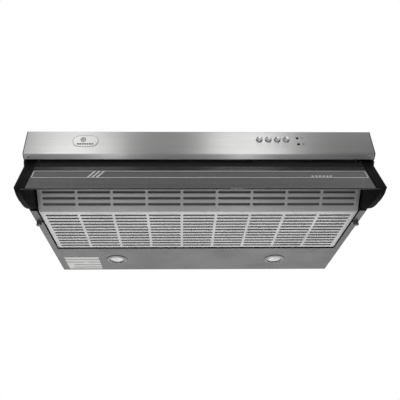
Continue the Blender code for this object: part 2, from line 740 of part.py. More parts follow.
def outlet():
    half, front, rear = SCROLL_MOUTH_X - GAP, 297.0, 472.0
    wall = SCROLL_WALL
    low, high = SCROLL_Z[0] + 1.0, -3.1
    plenum = piece("outlet_plenum", "galvanised", box(-half, half, front, rear, low, high))
    cut(plenum, box(-half + wall, half - wall, front + wall, rear - wall, low + wall, high + 5.0))
    cut_off = BLOWER[1] + SCROLL_RADII[0] * sin(radians(SCROLL_ANGLES[0])) + wall
    mouth = (cut_off, BLOWER[1] + SCROLL_RADII[1] - wall)
    cut(plenum, box(-half - 5.0, half + 5.0, *mouth, low + 2 * wall, high - 3.0))
    centre = (0.0, OUTLET_DEPTH, 0.0)
    bore, lip, flange = COLLAR_RADIUS - COLLAR_WALL, 69.0, 86.0
    under, foot, top = -SHEET - GAP, -2.8, COLLAR_HEIGHT
    seat_low, seat_high = DAMPER_SEAT_Z
    collar = [(flange, foot), (flange, under), (COLLAR_RADIUS, under), (COLLAR_RADIUS, top)]
    collar += [(bore, top), (bore, seat_high), (lip, seat_high)]
    collar += [(lip, seat_low), (bore, seat_low), (bore, foot)]
    piece("duct_collar", "black_plastic", turned(collar, centre, "Z", 40), smooth=True)
    pin = [(0.0, -bore + GAP), (1.5, -bore + GAP), (1.5, bore - GAP), (0.0, bore - GAP)]
    pivot = (0.0, OUTLET_DEPTH, DAMPER_AXIS_Z)
    piece("damper_pin", "steel", turned(pin, pivot, "X", 12), smooth=True)
    for side, sign in (("front", -1), ("rear", 1)):
        near, radius = 2.4, bore - 1.8
        start = degrees(asin(near / radius))
        outline = []
        for angle in steps(start, 180.0 - start, 20):
            outline.append((radius * cos(radians(angle)), OUTLET_DEPTH + sign * radius * sin(radians(angle))))
        low = DAMPER_SEAT_Z[1] + 0.5
        piece(f"damper_flap_{side}", "aluminium", prism_z(outline, low, low + DAMPER_SHEET), pivot)


def wiring():
    x, depth = GLAND
    bore, sleeve, flange, under = 4.0, 8.0, 13.0, -SHEET - GAP
    profile = [(bore, -14.0), (sleeve, -14.0), (sleeve, -4.0), (flange, -4.0), (flange, under)]
    profile += [(sleeve, under), (sleeve, 8.0), (6.5, 10.0), (bore, 10.0)]
    piece("cable_gland", "black_plastic", turned(profile, (x, depth, 0.0), "Z", 16), smooth=True)
    wall = 1.6
    x0, x1, depth0, depth1, z0, z1 = TERMINAL_BOX
    body = piece("terminal_box", "white_plastic", box(*TERMINAL_BOX))
    cut(body, box(x0 + wall, x1 - wall, depth0 + wall, depth1 + 5.0, z0 + wall, z1 - wall))


def main():
    for item in list(bpy.data.objects):
        bpy.data.objects.remove(item, do_unlink=True)
    front_fascia()
    fascia_ends()
    fascia_screws()
    badge()
    top_panel()
    side_panels()
    rear_panel()
    lamp_panel()
    controls()
    visor()
    grille()
    lamps()
    blowers()
    outlet()
    wiring()


main()
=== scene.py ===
from math import cos, pi, radians, sin, tan

import bmesh
import bpy
import numpy as np
from bpy.props import FloatProperty, FloatVectorProperty, IntProperty, PointerProperty
from mathutils import Matrix, Vector


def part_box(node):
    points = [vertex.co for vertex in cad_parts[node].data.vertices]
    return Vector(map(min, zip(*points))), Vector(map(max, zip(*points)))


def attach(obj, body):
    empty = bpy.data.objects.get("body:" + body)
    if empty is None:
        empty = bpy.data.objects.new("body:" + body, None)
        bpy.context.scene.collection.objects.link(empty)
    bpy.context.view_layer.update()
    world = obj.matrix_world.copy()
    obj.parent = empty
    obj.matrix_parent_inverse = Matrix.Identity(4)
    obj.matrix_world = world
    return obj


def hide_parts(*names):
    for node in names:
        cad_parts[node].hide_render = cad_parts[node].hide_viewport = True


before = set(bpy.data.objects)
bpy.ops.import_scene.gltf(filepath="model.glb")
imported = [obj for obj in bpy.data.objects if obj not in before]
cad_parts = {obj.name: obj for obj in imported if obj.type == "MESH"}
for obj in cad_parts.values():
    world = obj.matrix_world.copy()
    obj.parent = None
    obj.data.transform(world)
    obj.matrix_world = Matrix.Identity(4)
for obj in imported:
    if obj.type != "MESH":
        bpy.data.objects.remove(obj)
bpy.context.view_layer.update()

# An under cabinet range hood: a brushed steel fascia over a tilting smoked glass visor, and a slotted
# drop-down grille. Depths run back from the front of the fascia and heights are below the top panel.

bl_info = {
    "name": "Under Cabinet Range Hood",
    "version": (1, 0, 0),
    "blender": (4, 5, 0),
    "location": "3D View > Sidebar > Range Hood",
    "description": "Builds the finished surfaces and materials of an under cabinet range hood",
    "category": "Add Mesh",
}

MM = 0.001
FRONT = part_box("fascia_end_left")[0][1]
SIDES = (("left", -1), ("right", 1))

# Sheet metal
SHEET = 1.0 * MM
GAP = 0.3 * MM
HEIGHT = 168.0 * MM
SHELL_FRONT = 18.0 * MM
FOLD_RADIUS = 6.0 * MM
FOLD_CENTRE = (6.0 * MM, -68.6 * MM)
LIP_ANGLE = radians(30.0)
LIP_LENGTH = 12.4 * MM

# Visor: s runs down the glass from its axis and n stands out of its front. A cheek's radius grows by
# CHEEK_RISE for each radian ahead of straight down.
VISOR_AXIS = (42.0 * MM, -85.0 * MM)
VISOR_LEAN = radians(20.8)
GLASS_S = (-8.5 * MM, 115.6 * MM)
GLASS_N = (13.1 * MM, 17.1 * MM)
CHEEK_X = (431.0 * MM, 445.0 * MM)
CHEEK_BAR_X = 421.0 * MM
CHEEK_RADIUS = 108.0 * MM
CHEEK_RISE = 20.05 * MM
CHEEK_SWEEP = (radians(-23.0), radians(62.0))
PRINT_S = (42.0 * MM, 72.0 * MM)
PRINT_HALF_WIDTH = 416.0 * MM

# Grille: rows of slots are given as how many, how far the first is from the bend, and their pitch
GRILLE_HALF_WIDTH = 428.0 * MM
GRILLE_BEND = 128.5 * MM
GRILLE_REAR = 351.0 * MM
GRILLE_FRONT_LENGTH = 104.0 * MM
GRILLE_SLOPE = radians(40.3)
BAY_PITCH = 93.0 * MM
BAYS = 9
FRONT_ROWS = (5, 20.5 * MM, 17.0 * MM)
BOTTOM_ROWS = (12, 22.1 * MM, 17.0 * MM)
GRILLE_THICKNESS = 0.9 * MM
GRILLE_EDGE_BEND = 1.5 * MM
GRILLE_FLANGE = 8.0 * MM
MAT_LIFT = (3.9 * MM, 6.9 * MM)
MAT_MARGINS = (4.0 * MM, 5.0 * MM)

# Controls: radii across, depths from the front of the fascia
BUTTON_HOLE = 8.6 * MM
BUTTON_EDGE = 1.6 * MM
BUTTON_SHOULDER = 1.6 * MM
BUTTON_STEM = 4.0 * MM
INDICATOR_HOLE = 3.9 * MM
INDICATOR_RADIUS = 3.6 * MM
INDICATOR_SEAT = 4.8 * MM
INDICATOR_DEPTHS = (1.3 * MM, 3.0 * MM)
SIGN_OFFSET = 13.0 * MM

# Turn clips
CLIP_CENTRE = (442.0 * MM, 188.0 * MM)
CLIP_HUB = 7.2 * MM
CLIP_NOSE = 2.6 * MM
CLIP_KNOB = 7.0 * MM
CLIP_THICKNESS = 3.0 * MM
CLIP_SCREW = 3.6 * MM

# Lamps: radii, and heights from the underside of the lamp panel
BEZEL_WALL = (27.5 * MM, 29.3 * MM)
BEZEL_TOP = 12.0 * MM
BEZEL_LIP = (31.4 * MM, 2.1 * MM)
BEZEL_HOLLOW = (24.2 * MM, 1.4 * MM)
LENS_RADIUS = 22.0 * MM
LENS_SEAT = 27.1 * MM
LENS_HEIGHTS = (-2.4 * MM, 1.1 * MM, 3.5 * MM)
LENS_RISE = 3.0 * MM
RING_SHARE = 0.62

# Duct collar: radii, and heights from the top panel
COLLAR_RADIUS = 75.0 * MM
COLLAR_BORE = 73.3 * MM
COLLAR_SEAT = 69.0 * MM
COLLAR_FLANGE = 86.0 * MM
COLLAR_FOOT = (-2.8 * MM, -1.3 * MM)
COLLAR_SEAT_HEIGHTS = (16.0 * MM, 17.5 * MM)

# Stage, in metres
CAMERA_PLACE = (-0.05018, -1.16895, -0.75967)
SENSOR_WIDTH = 36.0
STRIP_DEPTH = -2.27
STRIP_HEIGHT = 0.35
FOOT_DEPTH = -0.42
FLOOR_REACH = 4.0

# Nodes that keep their shape, by finish
KEPT = {
    "galvanised": ["top_panel", "rear_panel", "outlet_plenum"],
    "grey_paint": ["lamp_panel", "side_panel_left", "side_panel_right"],
    "steel": ["damper_pin"],
    "white_plastic": ["switch_box", "terminal_box"],
    "black_plastic": ["cable_gland"],
    "aluminium": ["damper_flap_front", "damper_flap_rear"],
}
KEPT_PAIRS = {
    "galvanised": ["hinge_bracket", "lamp_housing", "scroll", "motor_bracket"],
    "steel": ["visor_pivot", "grille_hinge_pin", "motor_shaft"],
    "aluminium": ["impeller"],
    "motor_paint": ["motor"],
    "frosted_lens": ["lamp_bulb"],
}


# --- Settings ---


def colour_setting(name, description, default):
    return FloatVectorProperty(
        name=name, description=description, default=default, subtype="COLOR", size=3, min=0.0, max=1.0
    )


def length_setting(name, description, default):
    return FloatProperty(name=name, description=description, default=default, min=0.0, unit="LENGTH")


def angle_setting(name, description, default):
    return FloatProperty(name=name, description=description, default=default, subtype="ANGLE")


def brightness_setting(name, description, default):
    return FloatProperty(name=name, description=description, default=default, min=0.0)


class HoodSizes(bpy.types.PropertyGroup):
    """Sizes of the finer details, which don't change the outside of the hood"""

    slot_width: length_setting("Slot width", "Width of a grille slot between its flat sides", 6.6 * MM)
    slot_length: length_setting("Slot length", "Length of a grille slot over its round ends", 86.0 * MM)
    slot_roll: length_setting("Slot roll", "Radius that a slot's edge is turned in by", 1.3 * MM)
    bend_radius: length_setting("Bend radius", "Radius of the grille's bend", 10.0 * MM)
    line_width: length_setting("Line width", "Width of the lines printed on the glass", 1.9 * MM)
    slash_width: length_setting("Slash width", "Width of the three slashes printed on the glass", 5.0 * MM)
    button_dish: length_setting("Button dish", "Depth of the hollow in a button's face", 0.8 * MM)
    lens_rings: IntProperty(name="Lens rings", description="Rings moulded into a lamp lens", default=5, min=0)
    lens_flutes: IntProperty(name="Lens flutes", description="Flutes round a lamp lens", default=24, min=0)


class HoodColours(bpy.types.PropertyGroup):
    """Colours of the finishes"""

    stainless: colour_setting("Stainless steel", "Brushed steel of the fascia", (0.66, 0.66, 0.655))
    silver: colour_setting("Silver paint", "Paint of the grille", (0.50, 0.50, 0.50))
    grey: colour_setting("Grey paint", "Paint of the sides and the lamp panel", (0.155, 0.155, 0.155))
    zinc: colour_setting("Zinc", "Galvanised sheet", (0.52, 0.53, 0.54))
    black: colour_setting("Black plastic", "Moulded parts of the visor", (0.008, 0.008, 0.008))
    glass: colour_setting("Smoked glass", "Tint of the visor", (0.12, 0.12, 0.12))
    print: colour_setting("Print", "Lines printed on the glass", (0.80, 0.80, 0.78))
    lens: colour_setting("Lens", "Frosted lamp lens", (0.94, 0.94, 0.92))
    label: colour_setting("Label", "Rating plate", (0.80, 0.80, 0.78))
    felt: colour_setting("Felt", "Grease mat inside the grille", (0.22, 0.22, 0.215))


class HoodStage(bpy.types.PropertyGroup):
    """Floor, lights and camera"""

    floor_depth: length_setting("Floor", "How far the floor is below the top panel", 1.55)
    floor_colour: colour_setting("Floor colour", "Plain pale floor", (0.78, 0.78, 0.78))
    ambient: brightness_setting("Ambient", "Brightness of the room", 0.20)
    strips: brightness_setting("Strips", "Brightness of the tall strip lights", 1.75)
    underlight: brightness_setting("Underlight", "Brightness of the soft light below the back", 2.3)
    footlights: brightness_setting("Footlights", "Brightness of the soft lights near the floor", 4.6)
    overhead: brightness_setting("Overhead", "Brightness of the light above", 0.8)
    lens_length: FloatProperty(
        name="Focal length", description="Focal length of the camera", default=39.97, unit="CAMERA"
    )
    tilt: angle_setting("Tilt", "How far the camera looks up", radians(31.281))
    turn: angle_setting("Turn", "How far the camera looks to the right", radians(1.113))
    roll: angle_setting("Roll", "How far the camera leans", radians(-0.622))
    shift: FloatProperty(name="Shift", description="Sideways shift of the lens", default=0.0303)


# --- Surfaces: a shape is an array of points and a list of arrays of faces ---


def steps(start, end, count):
    return np.linspace(start, end, count + 1)


def join(*shapes):
    """Several shapes as one."""
    points, faces, start = [], [], 0
    for shape_points, shape_faces in shapes:
        points.append(shape_points.reshape(-1, 3))
        faces += [face + start for face in shape_faces]
        start += len(points[-1])
    return np.concatenate(points), faces


def grid(points, wrap_rows=False, wrap_columns=False):
    """A grid of points, rows by columns, joined to its neighbours by four-cornered faces."""
    rows, columns = points.shape[:2]
    i, j = np.meshgrid(
        np.arange(rows if wrap_rows else rows - 1),
        np.arange(columns if wrap_columns else columns - 1),
        indexing="ij",
    )
    below, beside = (i + 1) % rows, (j + 1) % columns
    corners = [i * columns + j, i * columns + beside, below * columns + beside, below * columns + j]
    return points.reshape(-1, 3), [np.stack(corners, axis=-1).reshape(-1, 4)]


def lofted(loops, ring=False):
    """Closed loops joined one after another, with both ends filled, or with the last joined to the first."""
    loops = np.asarray(loops)
    points, faces = grid(loops, wrap_rows=ring, wrap_columns=True)
    if not ring:
        count, total = loops.shape[1], len(points)
        faces.append(np.arange(count)[None, ::-1])
        faces.append(np.arange(total - count, total)[None, :])
    return points, faces


def about(axis, along, a, b):
    """Points at a distance along an axis, and at a and b across it."""
    return np.stack({"Y": (b, along, a), "Z": (a, b, along)}[axis], axis=-1)


def turned(profile, centre, axis="Z", segments=64, wave=None):
    """A closed profile of (radius, along) carried round an axis: a = r cos t, b = r sin t.

    wave(radius, angle) is added to how far along the axis a point is."""
    profile = np.asarray(profile)
    angle = 2 * pi * np.arange(segments) / segments
    radius = profile[:, :1] * np.ones_like(angle)
    along = profile[:, 1:] * np.ones_like(angle)
    if wave is not None:
        along = along + wave(radius, angle[None, :])
    loops = about(axis, along, radius * np.cos(angle), radius * np.sin(angle))
    return lofted(loops + np.asarray(centre), ring=True)


def arc(centre, radius, start, end, count):
    """Points (a, b) on a circle's arc: a = ca + r cos t and b = cb + r sin t."""
    angle = steps(start, end, count)
    return np.stack([centre[0] + radius * np.cos(angle), centre[1] + radius * np.sin(angle)], axis=-1)


def rounded_box(centre, size, radius, count=6):
    """A rectangle's outline with a quarter circle at each corner."""
    half = np.asarray(size) / 2 - radius
    corners = [(1, 1), (-1, 1), (-1, -1), (1, -1)]
    parts = [
        arc(centre + half * np.asarray(sign), radius, k * pi / 2, (k + 1) * pi / 2, count)
        for k, sign in enumerate(corners)
    ]
    return np.concatenate(parts)


def inset(outline, amount):
    """An outline moved in by an amount: each point goes along the mean of its two edges' normals,
    far enough for both edges to move by the amount."""
    ahead = np.roll(outline, -1, axis=0) - outline
    ahead /= np.linalg.norm(ahead, axis=1, keepdims=True)
    behind = np.roll(ahead, 1, axis=0)
    area = np.sum(outline[:, 0] * np.roll(outline[:, 1], -1) - outline[:, 1] * np.roll(outline[:, 0], -1))
    turn = np.sign(area) * np.stack([-(ahead + behind)[:, 1], (ahead + behind)[:, 0]], axis=-1)
    length = np.linalg.norm(turn, axis=1, keepdims=True)
    return outline + amount * turn / length * np.minimum(2 / length, 1.6)


def slab(outline, levels, place):
    """An outline stacked at levels of (along, inset). place turns arrays (a, b, along) into points."""
    loops = []
    for along, amount in levels:
        moved = inset(outline, amount) if amount else outline
        loops.append(place(moved[:, 0], moved[:, 1], np.full(len(moved), along)))
    return lofted(loops)


def soft_levels(start, end, radius, count=3):
    """Levels from start to end whose two ends are rounded by a radius."""
    angle = steps(0.0, pi / 2, count)
    run, amount = radius * (1 - np.cos(angle)), radius * (1 - np.sin(angle))
    way = 1.0 if end > start else -1.0
    first = list(zip(start + way * run, amount))
    last = list(zip(end - way * run[::-1], amount[::-1]))
    return first + last


def along_x(a, b, x):
    """Depth a and height b, carried along the width."""
    return np.stack([x, FRONT + a, b], axis=-1)


def along_y(a, b, depth):
    """Across a and height b, carried backwards."""
    return np.stack([a, FRONT + depth, b], axis=-1)


def along_z(a, b, z):
    """Across a and depth b, carried upwards."""
    return np.stack([a, FRONT + b, z], axis=-1)


def visor_place(x, s, n):
    """A place x across, s down the glass and n out of its front."""
    depth = VISOR_AXIS[0] - s * sin(VISOR_LEAN) - n * cos(VISOR_LEAN)
    height = VISOR_AXIS[1] - s * cos(VISOR_LEAN) + n * sin(VISOR_LEAN)
    return np.stack([x, FRONT + depth, height], axis=-1)


def add_object(name, shape, clean=True):
    """An object with a shape's mesh, its doubles merged and its faces turned outwards."""
    points, faces = shape
    mesh = bpy.data.meshes.new(name)
    mesh.from_pydata(points.tolist(), [], [face for block in faces for face in block.tolist()])
    if clean:
        edit = bmesh.new()
        edit.from_mesh(mesh)
        bmesh.ops.remove_doubles(edit, verts=edit.verts, dist=2e-6)
        bmesh.ops.dissolve_degenerate(edit, edges=edit.edges, dist=1e-6)
        bmesh.ops.recalc_face_normals(edit, faces=edit.faces)
        edit.to_mesh(mesh)
        edit.free()
    item = bpy.data.objects.new(name, mesh)
    bpy.context.scene.collection.objects.link(item)
    return item


def smooth(item, crease):
    item.data.shade_smooth()
    item.data.set_sharp_from_angle(angle=radians(crease))


def add_piece(name, shape, finish, body="hood", replaces=(), crease=35.0):
    """A finished piece that rides on a body."""
    item = add_object(name, shape)
    item.data.materials.append(finish_material(finish))
    smooth(item, crease)
    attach(item, body)
    if replaces:
        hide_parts(*replaces)
    return item


def settle(item, crease=35.0):
    """The piece's modifiers made part of its mesh."""
    bpy.context.view_layer.update()
    evaluated = item.evaluated_get(bpy.context.evaluated_depsgraph_get())
    mesh = bpy.data.meshes.new_from_object(evaluated)
    item.modifiers.clear()
    item.data = mesh
    smooth(item, crease)


def pierce(item, shape):
    """Cut a closed shape out of a piece."""
    tool = add_object("tool", shape)
    modifier = item.modifiers.new("cut", "BOOLEAN")
    modifier.operation = "DIFFERENCE"
    modifier.solver = "EXACT"
    modifier.object = tool
    settle(item)
    bpy.data.objects.remove(tool)


def screw_shape(centre, radius, rise, segments=32):
    """A pan head that faces down, with a cross recess: the dome's height is rise (1 - (r / radius)^4),
    less the recess where the point lies in either arm of the cross."""
    ring = radius * np.concatenate([steps(0.0, 0.62, 8), steps(0.7, 1.0, 5)])
    angle = 2 * pi * np.arange(segments) / segments
    r, t = np.meshgrid(ring, angle, indexing="ij")
    a, b = r * np.cos(t), r * np.sin(t)
    arm = 0.13 * radius
    near = np.minimum(np.abs(a), np.abs(b)) - arm
    far = np.maximum(np.abs(a), np.abs(b)) - 0.55 * radius
    recess = np.clip(0.5 - np.maximum(near, far) / (0.12 * radius), 0.0, 1.0)
    along = -(rise * (1 - (r / radius) ** 4) - 0.55 * rise * recess)
    a = np.concatenate([a, a[-1:], a[-1:] * 0.0])
    b = np.concatenate([b, b[-1:], b[-1:] * 0.0])
    along = np.concatenate([along, np.full((2, segments), GAP / 2)])
    return grid(about("Z", along, a, b) + np.asarray(centre), wrap_columns=True)


# --- Materials ---


def fill(tree, node, inputs):
    """Give a node's sockets plain values, or link them to the sockets of other nodes."""
    for key, value in inputs.items():
        if isinstance(value, bpy.types.NodeSocket):
            tree.links.new(value, node.inputs[key])
        else:
            node.inputs[key].default_value = value


def add_node(tree, kind, inputs=None, **settings):
    """A node with its settings and the values or links of its sockets."""
    node = tree.nodes.new(kind)
    for key, value in settings.items():
        setattr(node, key, value)
    fill(tree, node, inputs or {})
    return node


def combine(tree, operation, *values):
    """A Math node of sockets and plain numbers, in order."""
    return add_node(tree, "ShaderNodeMath", dict(enumerate(values)), operation=operation).outputs[0]


def blend_colours(tree, factor, first, second):
    inputs = {0: factor, 6: first, 7: second}
    return add_node(tree, "ShaderNodeMix", inputs, data_type="RGBA").outputs[2]


def blend_values(tree, factor, first, second):
    inputs = {0: factor, 2: first, 3: second}
    return add_node(tree, "ShaderNodeMix", inputs, data_type="FLOAT").outputs[0]


SURFACE_INPUTS = [
    ("Vector", "NodeSocketVector", None),
    ("Light Colour", "NodeSocketColor", (0.8, 0.8, 0.8, 1.0)),
    ("Dark Colour", "NodeSocketColor", (0.6, 0.6, 0.6, 1.0)),
    ("Low Roughness", "NodeSocketFloat", 0.3),
    ("High Roughness", "NodeSocketFloat", 0.5),
    ("Scale", "NodeSocketFloat", 10.0),
]
SURFACE_OUTPUTS = [
    ("Colour", "NodeSocketColor"),
    ("Roughness", "NodeSocketFloat"),
    ("Height", "NodeSocketFloat"),
]


def surface_group(build):
    """A shader node group that turns a pattern into colour, roughness and height. build(tree, vector,
    scale) returns the sockets of its colour mask, its roughness mask and its height."""
    tree = bpy.data.node_groups.get(build.__name__)
    if tree:
        return tree
    tree = bpy.data.node_groups.new(build.__name__, "ShaderNodeTree")
    for label, kind, default in SURFACE_INPUTS:
        socket = tree.interface.new_socket(label, in_out="INPUT", socket_type=kind)
        if default is not None:
            socket.default_value = default
    for label, kind in SURFACE_OUTPUTS:
        tree.interface.new_socket(label, in_out="OUTPUT", socket_type=kind)
    entry = tree.nodes.new("NodeGroupInput").outputs
    tone, wear, height = build(tree, entry["Vector"], entry["Scale"])
    add_node(tree, "NodeGroupOutput", {
        "Colour": blend_colours(tree, tone, entry["Dark Colour"], entry["Light Colour"]),
        "Roughness": blend_values(tree, wear, entry["Low Roughness"], entry["High Roughness"]),
        "Height": height,
    })
    return tree


def noise(tree, vector, scale, detail=3.0, roughness=0.5, stretch=None, factor=1.0):
    """Fractal noise in a vector, stretched by an amount along each axis, at scale times factor."""
    if stretch is not None:
        vector = add_node(tree, "ShaderNodeMapping", {"Vector": vector, "Scale": stretch}).outputs["Vector"]
    scale = combine(tree, "MULTIPLY", scale, factor)
    inputs = {"Vector": vector, "Scale": scale, "Detail": detail, "Roughness": roughness}
    return add_node(tree, "ShaderNodeTexNoise", inputs).outputs["Fac"]


def spread(tree, value, low, high):
    """A value stretched so that low becomes 0 and high becomes 1."""
    inputs = {"Value": value, "From Min": low, "From Max": high}
    return add_node(tree, "ShaderNodeMapRange", inputs).outputs["Result"]


def brushed_pattern(tree, vector, scale):
    """Fine lines drawn along X over faint longer bands, with broad handling marks in the roughness."""
    fine = noise(tree, vector, scale, 4.0, 0.6, (0.02, 1.0, 1.0), 40.0)
    bands = noise(tree, vector, scale, 2.0, 0.5, (0.04, 1.0, 1.0), 6.0)
    marks = noise(tree, vector, scale, 3.0, 0.55, None, 0.6)
    lines = combine(tree, "MULTIPLY_ADD", fine, 0.5, combine(tree, "MULTIPLY", bands, 0.5))
    return spread(tree, lines, 0.35, 0.65), spread(tree, marks, 0.3, 0.7), fine


def painted_pattern(tree, vector, scale):
    """A faint mottle in the colour, cloudy gloss and the orange peel of sprayed paint."""
    mottle = noise(tree, vector, scale, 4.0, 0.6, None, 1.0)
    clouds = noise(tree, vector, scale, 2.0, 0.5, None, 0.35)
    peel = noise(tree, vector, scale, 2.0, 0.5, None, 30.0)
    return spread(tree, mottle, 0.3, 0.7), spread(tree, clouds, 0.3, 0.7), peel


def spangle_pattern(tree, vector, scale):
    """Zinc crystals: cells of their own brightness, with their edges in the roughness."""
    cells = add_node(tree, "ShaderNodeTexVoronoi", {"Vector": vector, "Scale": scale, "Randomness": 1.0})
    single = add_node(tree, "ShaderNodeSeparateColor", {"Color": cells.outputs["Color"]})
    stain = noise(tree, vector, scale, 4.0, 0.6, None, 0.08)
    return single.outputs[0], single.outputs[1], stain


def moulded_pattern(tree, vector, scale):
    """The fine even grain of moulded plastic with faint flow marks."""
    flow = noise(tree, vector, scale, 3.0, 0.5, None, 0.1)
    scuff = noise(tree, vector, scale, 5.0, 0.65, None, 0.5)
    grain = noise(tree, vector, scale, 1.0, 0.5, None, 8.0)
    return spread(tree, flow, 0.3, 0.7), spread(tree, scuff, 0.35, 0.7), grain


def felt_pattern(tree, vector, scale):
    """Tangled fibres: two sets of stretched noise laid across each other."""
    first = noise(tree, vector, scale, 4.0, 0.7, (1.0, 0.25, 0.6), 12.0)
    second = noise(tree, vector, scale, 4.0, 0.7, (0.25, 1.0, 0.6), 12.0)
    tangle = combine(tree, "MAXIMUM", first, second)
    stain = noise(tree, vector, scale, 3.0, 0.5, None, 0.5)
    return spread(tree, tangle, 0.4, 0.75), stain, tangle


def smear_pattern(tree, vector, scale):
    """Wiped smears on a smooth surface, which show only in its gloss."""
    wiped = noise(tree, vector, scale, 5.0, 0.6, (0.3, 1.0, 1.0), 1.0)
    spots = noise(tree, vector, scale, 2.0, 0.5, None, 6.0)
    return spread(tree, wiped, 0.3, 0.7), spread(tree, wiped, 0.45, 0.8), spots


def label_pattern(tree, vector, scale):
    """Printed rows on a label: bands along the width, broken into blocks of their own length."""
    inputs = {"Vector": vector, "Scale": scale, "Distortion": 0.0}
    bands = add_node(tree, "ShaderNodeTexWave", inputs, wave_type="BANDS", bands_direction="Y")
    blocks = noise(tree, vector, scale, 0.0, 0.5, (1.0, 0.9, 1.0), 1.4)
    rows = spread(tree, bands.outputs["Fac"], 0.55, 0.75)
    printed = combine(tree, "MULTIPLY", rows, spread(tree, blocks, 0.30, 0.33))
    grain = noise(tree, vector, scale, 2.0, 0.5, None, 20.0)
    return combine(tree, "SUBTRACT", 1.0, printed), printed, grain


BUMP_DEPTH = 0.0005


def finishes(colours):
    """Each finish: its pattern and scale, its colour and how much darker the dark parts are, the low and
    high roughness, the bump, and the plain values."""
    steel = (0.50, 0.50, 0.51)
    return {
        "stainless": (brushed_pattern, 18.0, colours.stainless, 0.93, (0.34, 0.40), 0.02,
                      {"Metallic": 1.0, "Anisotropic": 0.95, "Anisotropic Rotation": 0.25}),
        "silver_paint": (painted_pattern, 30.0, colours.silver, 0.92, (0.34, 0.46), 0.015,
                         {"Metallic": 0.35, "Coat Weight": 0.15, "Coat Roughness": 0.2}),
        "grey_paint": (painted_pattern, 24.0, colours.grey, 0.90, (0.38, 0.50), 0.08, {"Metallic": 0.25}),
        "galvanised": (spangle_pattern, 90.0, colours.zinc, 0.86, (0.40, 0.50), 0.03, {"Metallic": 0.85}),
        "black_plastic": (moulded_pattern, 120.0, colours.black, 0.70, (0.48, 0.60), 0.12,
                          {"Specular IOR Level": 0.1}),
        "latch_plastic": (moulded_pattern, 120.0, (0.11, 0.11, 0.11), 0.75, (0.34, 0.46), 0.12, {}),
        "satin_chrome": (smear_pattern, 60.0, (0.64, 0.64, 0.64), 0.95, (0.28, 0.38), 0.0, {"Metallic": 1.0}),
        "grey_enamel": (painted_pattern, 60.0, (0.20, 0.20, 0.20), 0.92, (0.30, 0.42), 0.03,
                        {"Metallic": 0.4}),
        "steel": (brushed_pattern, 40.0, steel, 0.85, (0.26, 0.38), 0.03, {"Metallic": 1.0}),
        "aluminium": (brushed_pattern, 30.0, (0.62, 0.63, 0.64), 0.88, (0.34, 0.46), 0.03, {"Metallic": 1.0}),
        "motor_paint": (painted_pattern, 60.0, (0.10, 0.11, 0.12), 0.75, (0.40, 0.55), 0.10,
                        {"Metallic": 0.2}),
        "white_plastic": (moulded_pattern, 90.0, (0.78, 0.78, 0.76), 0.94, (0.38, 0.50), 0.08, {}),
        "white_label": (label_pattern, 15.0, colours.label, 0.50, (0.42, 0.55), 0.02, {}),
        "filter_felt": (felt_pattern, 30.0, colours.felt, 0.80, (0.85, 0.95), 0.15, {"Sheen Weight": 0.2}),
        "frosted_lens": (moulded_pattern, 150.0, colours.lens, 0.93, (0.22, 0.34), 0.10,
                         {"Transmission Weight": 0.1, "Coat Weight": 0.4}),
        "dark_lens": (moulded_pattern, 150.0, (0.01, 0.01, 0.01), 0.70, (0.12, 0.20), 0.02,
                      {"Coat Weight": 0.2}),
        "smoked_glass": (smear_pattern, 14.0, colours.glass, 0.97, (0.02, 0.07), 0.0,
                         {"Transmission Weight": 0.72, "IOR": 1.5}),
        "glass_print": (moulded_pattern, 120.0, colours.print, 0.90, (0.40, 0.50), 0.0, {}),
        "dark_print": (moulded_pattern, 120.0, (0.10, 0.10, 0.10), 0.80, (0.40, 0.50), 0.0, {}),
        "floor": (painted_pattern, 0.8, bpy.context.scene.hood_stage.floor_colour, 0.97, (0.75, 0.85), 0.0,
                  {}),
    }


def finish_material(name):
    """The node material of a finish, made the first time that it is asked for."""
    found = bpy.data.materials.get("hood_" + name)
    if found:
        return found
    settings = finishes(bpy.context.scene.hood_colours)[name]
    pattern, scale, colour, darker, (low, high), bump_strength, values = settings
    material = bpy.data.materials.new("hood_" + name)
    material.use_nodes = True
    tree = material.node_tree
    group = add_node(tree, "ShaderNodeGroup", node_tree=surface_group(pattern))
    fill(tree, group, {
        "Vector": add_node(tree, "ShaderNodeTexCoord").outputs["Object"],
        "Light Colour": (*colour, 1.0),
        "Dark Colour": (*(channel * darker for channel in colour), 1.0),
        "Low Roughness": low,
        "High Roughness": high,
        "Scale": scale,
    })
    inputs = {**values, "Base Color": group.outputs["Colour"], "Roughness": group.outputs["Roughness"]}
    if "Anisotropic" in values:
        inputs["Tangent"] = add_node(tree, "ShaderNodeCombineXYZ", {"X": 1.0}).outputs["Vector"]
    if bump_strength:
        bump = {"Strength": bump_strength, "Distance": BUMP_DEPTH, "Height": group.outputs["Height"]}
        inputs["Normal"] = add_node(tree, "ShaderNodeBump", bump).outputs["Normal"]
    fill(tree, tree.nodes["Principled BSDF"], inputs)
    return material


def dress(*names, finish):
    """Give CAD nodes that keep their shape their finish."""
    for name in names:
        for material_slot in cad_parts[name].material_slots:
            material_slot.material = finish_material(finish)


# --- Fascia ---


def fascia_outline(offset):
    """Depths and heights of one skin of the fascia: the top strip, a small bend, the face, the fold
    and the lip, at an offset inside the outer skin."""
    small = 1.6 * MM
    top = arc((small, -small), small - offset, pi / 2, pi, 5)
    fold = arc(FOLD_CENTRE, FOLD_RADIUS - offset, pi, 1.5 * pi - LIP_ANGLE, 18)
    lip = fold[-1] + LIP_LENGTH * np.array([cos(LIP_ANGLE), -sin(LIP_ANGLE)])
    return np.concatenate([[(SHELL_FRONT, -offset)], top, fold, [lip]])


def round_hole(x, z, radius):
    """A cylinder that passes through the fascia."""
    front, rear = -5.0 * MM, 8.0 * MM
    profile = [(0.0, front), (radius, front), (radius, rear), (0.0, rear)]
    return turned(profile, (x, FRONT, z), "Y", 48)


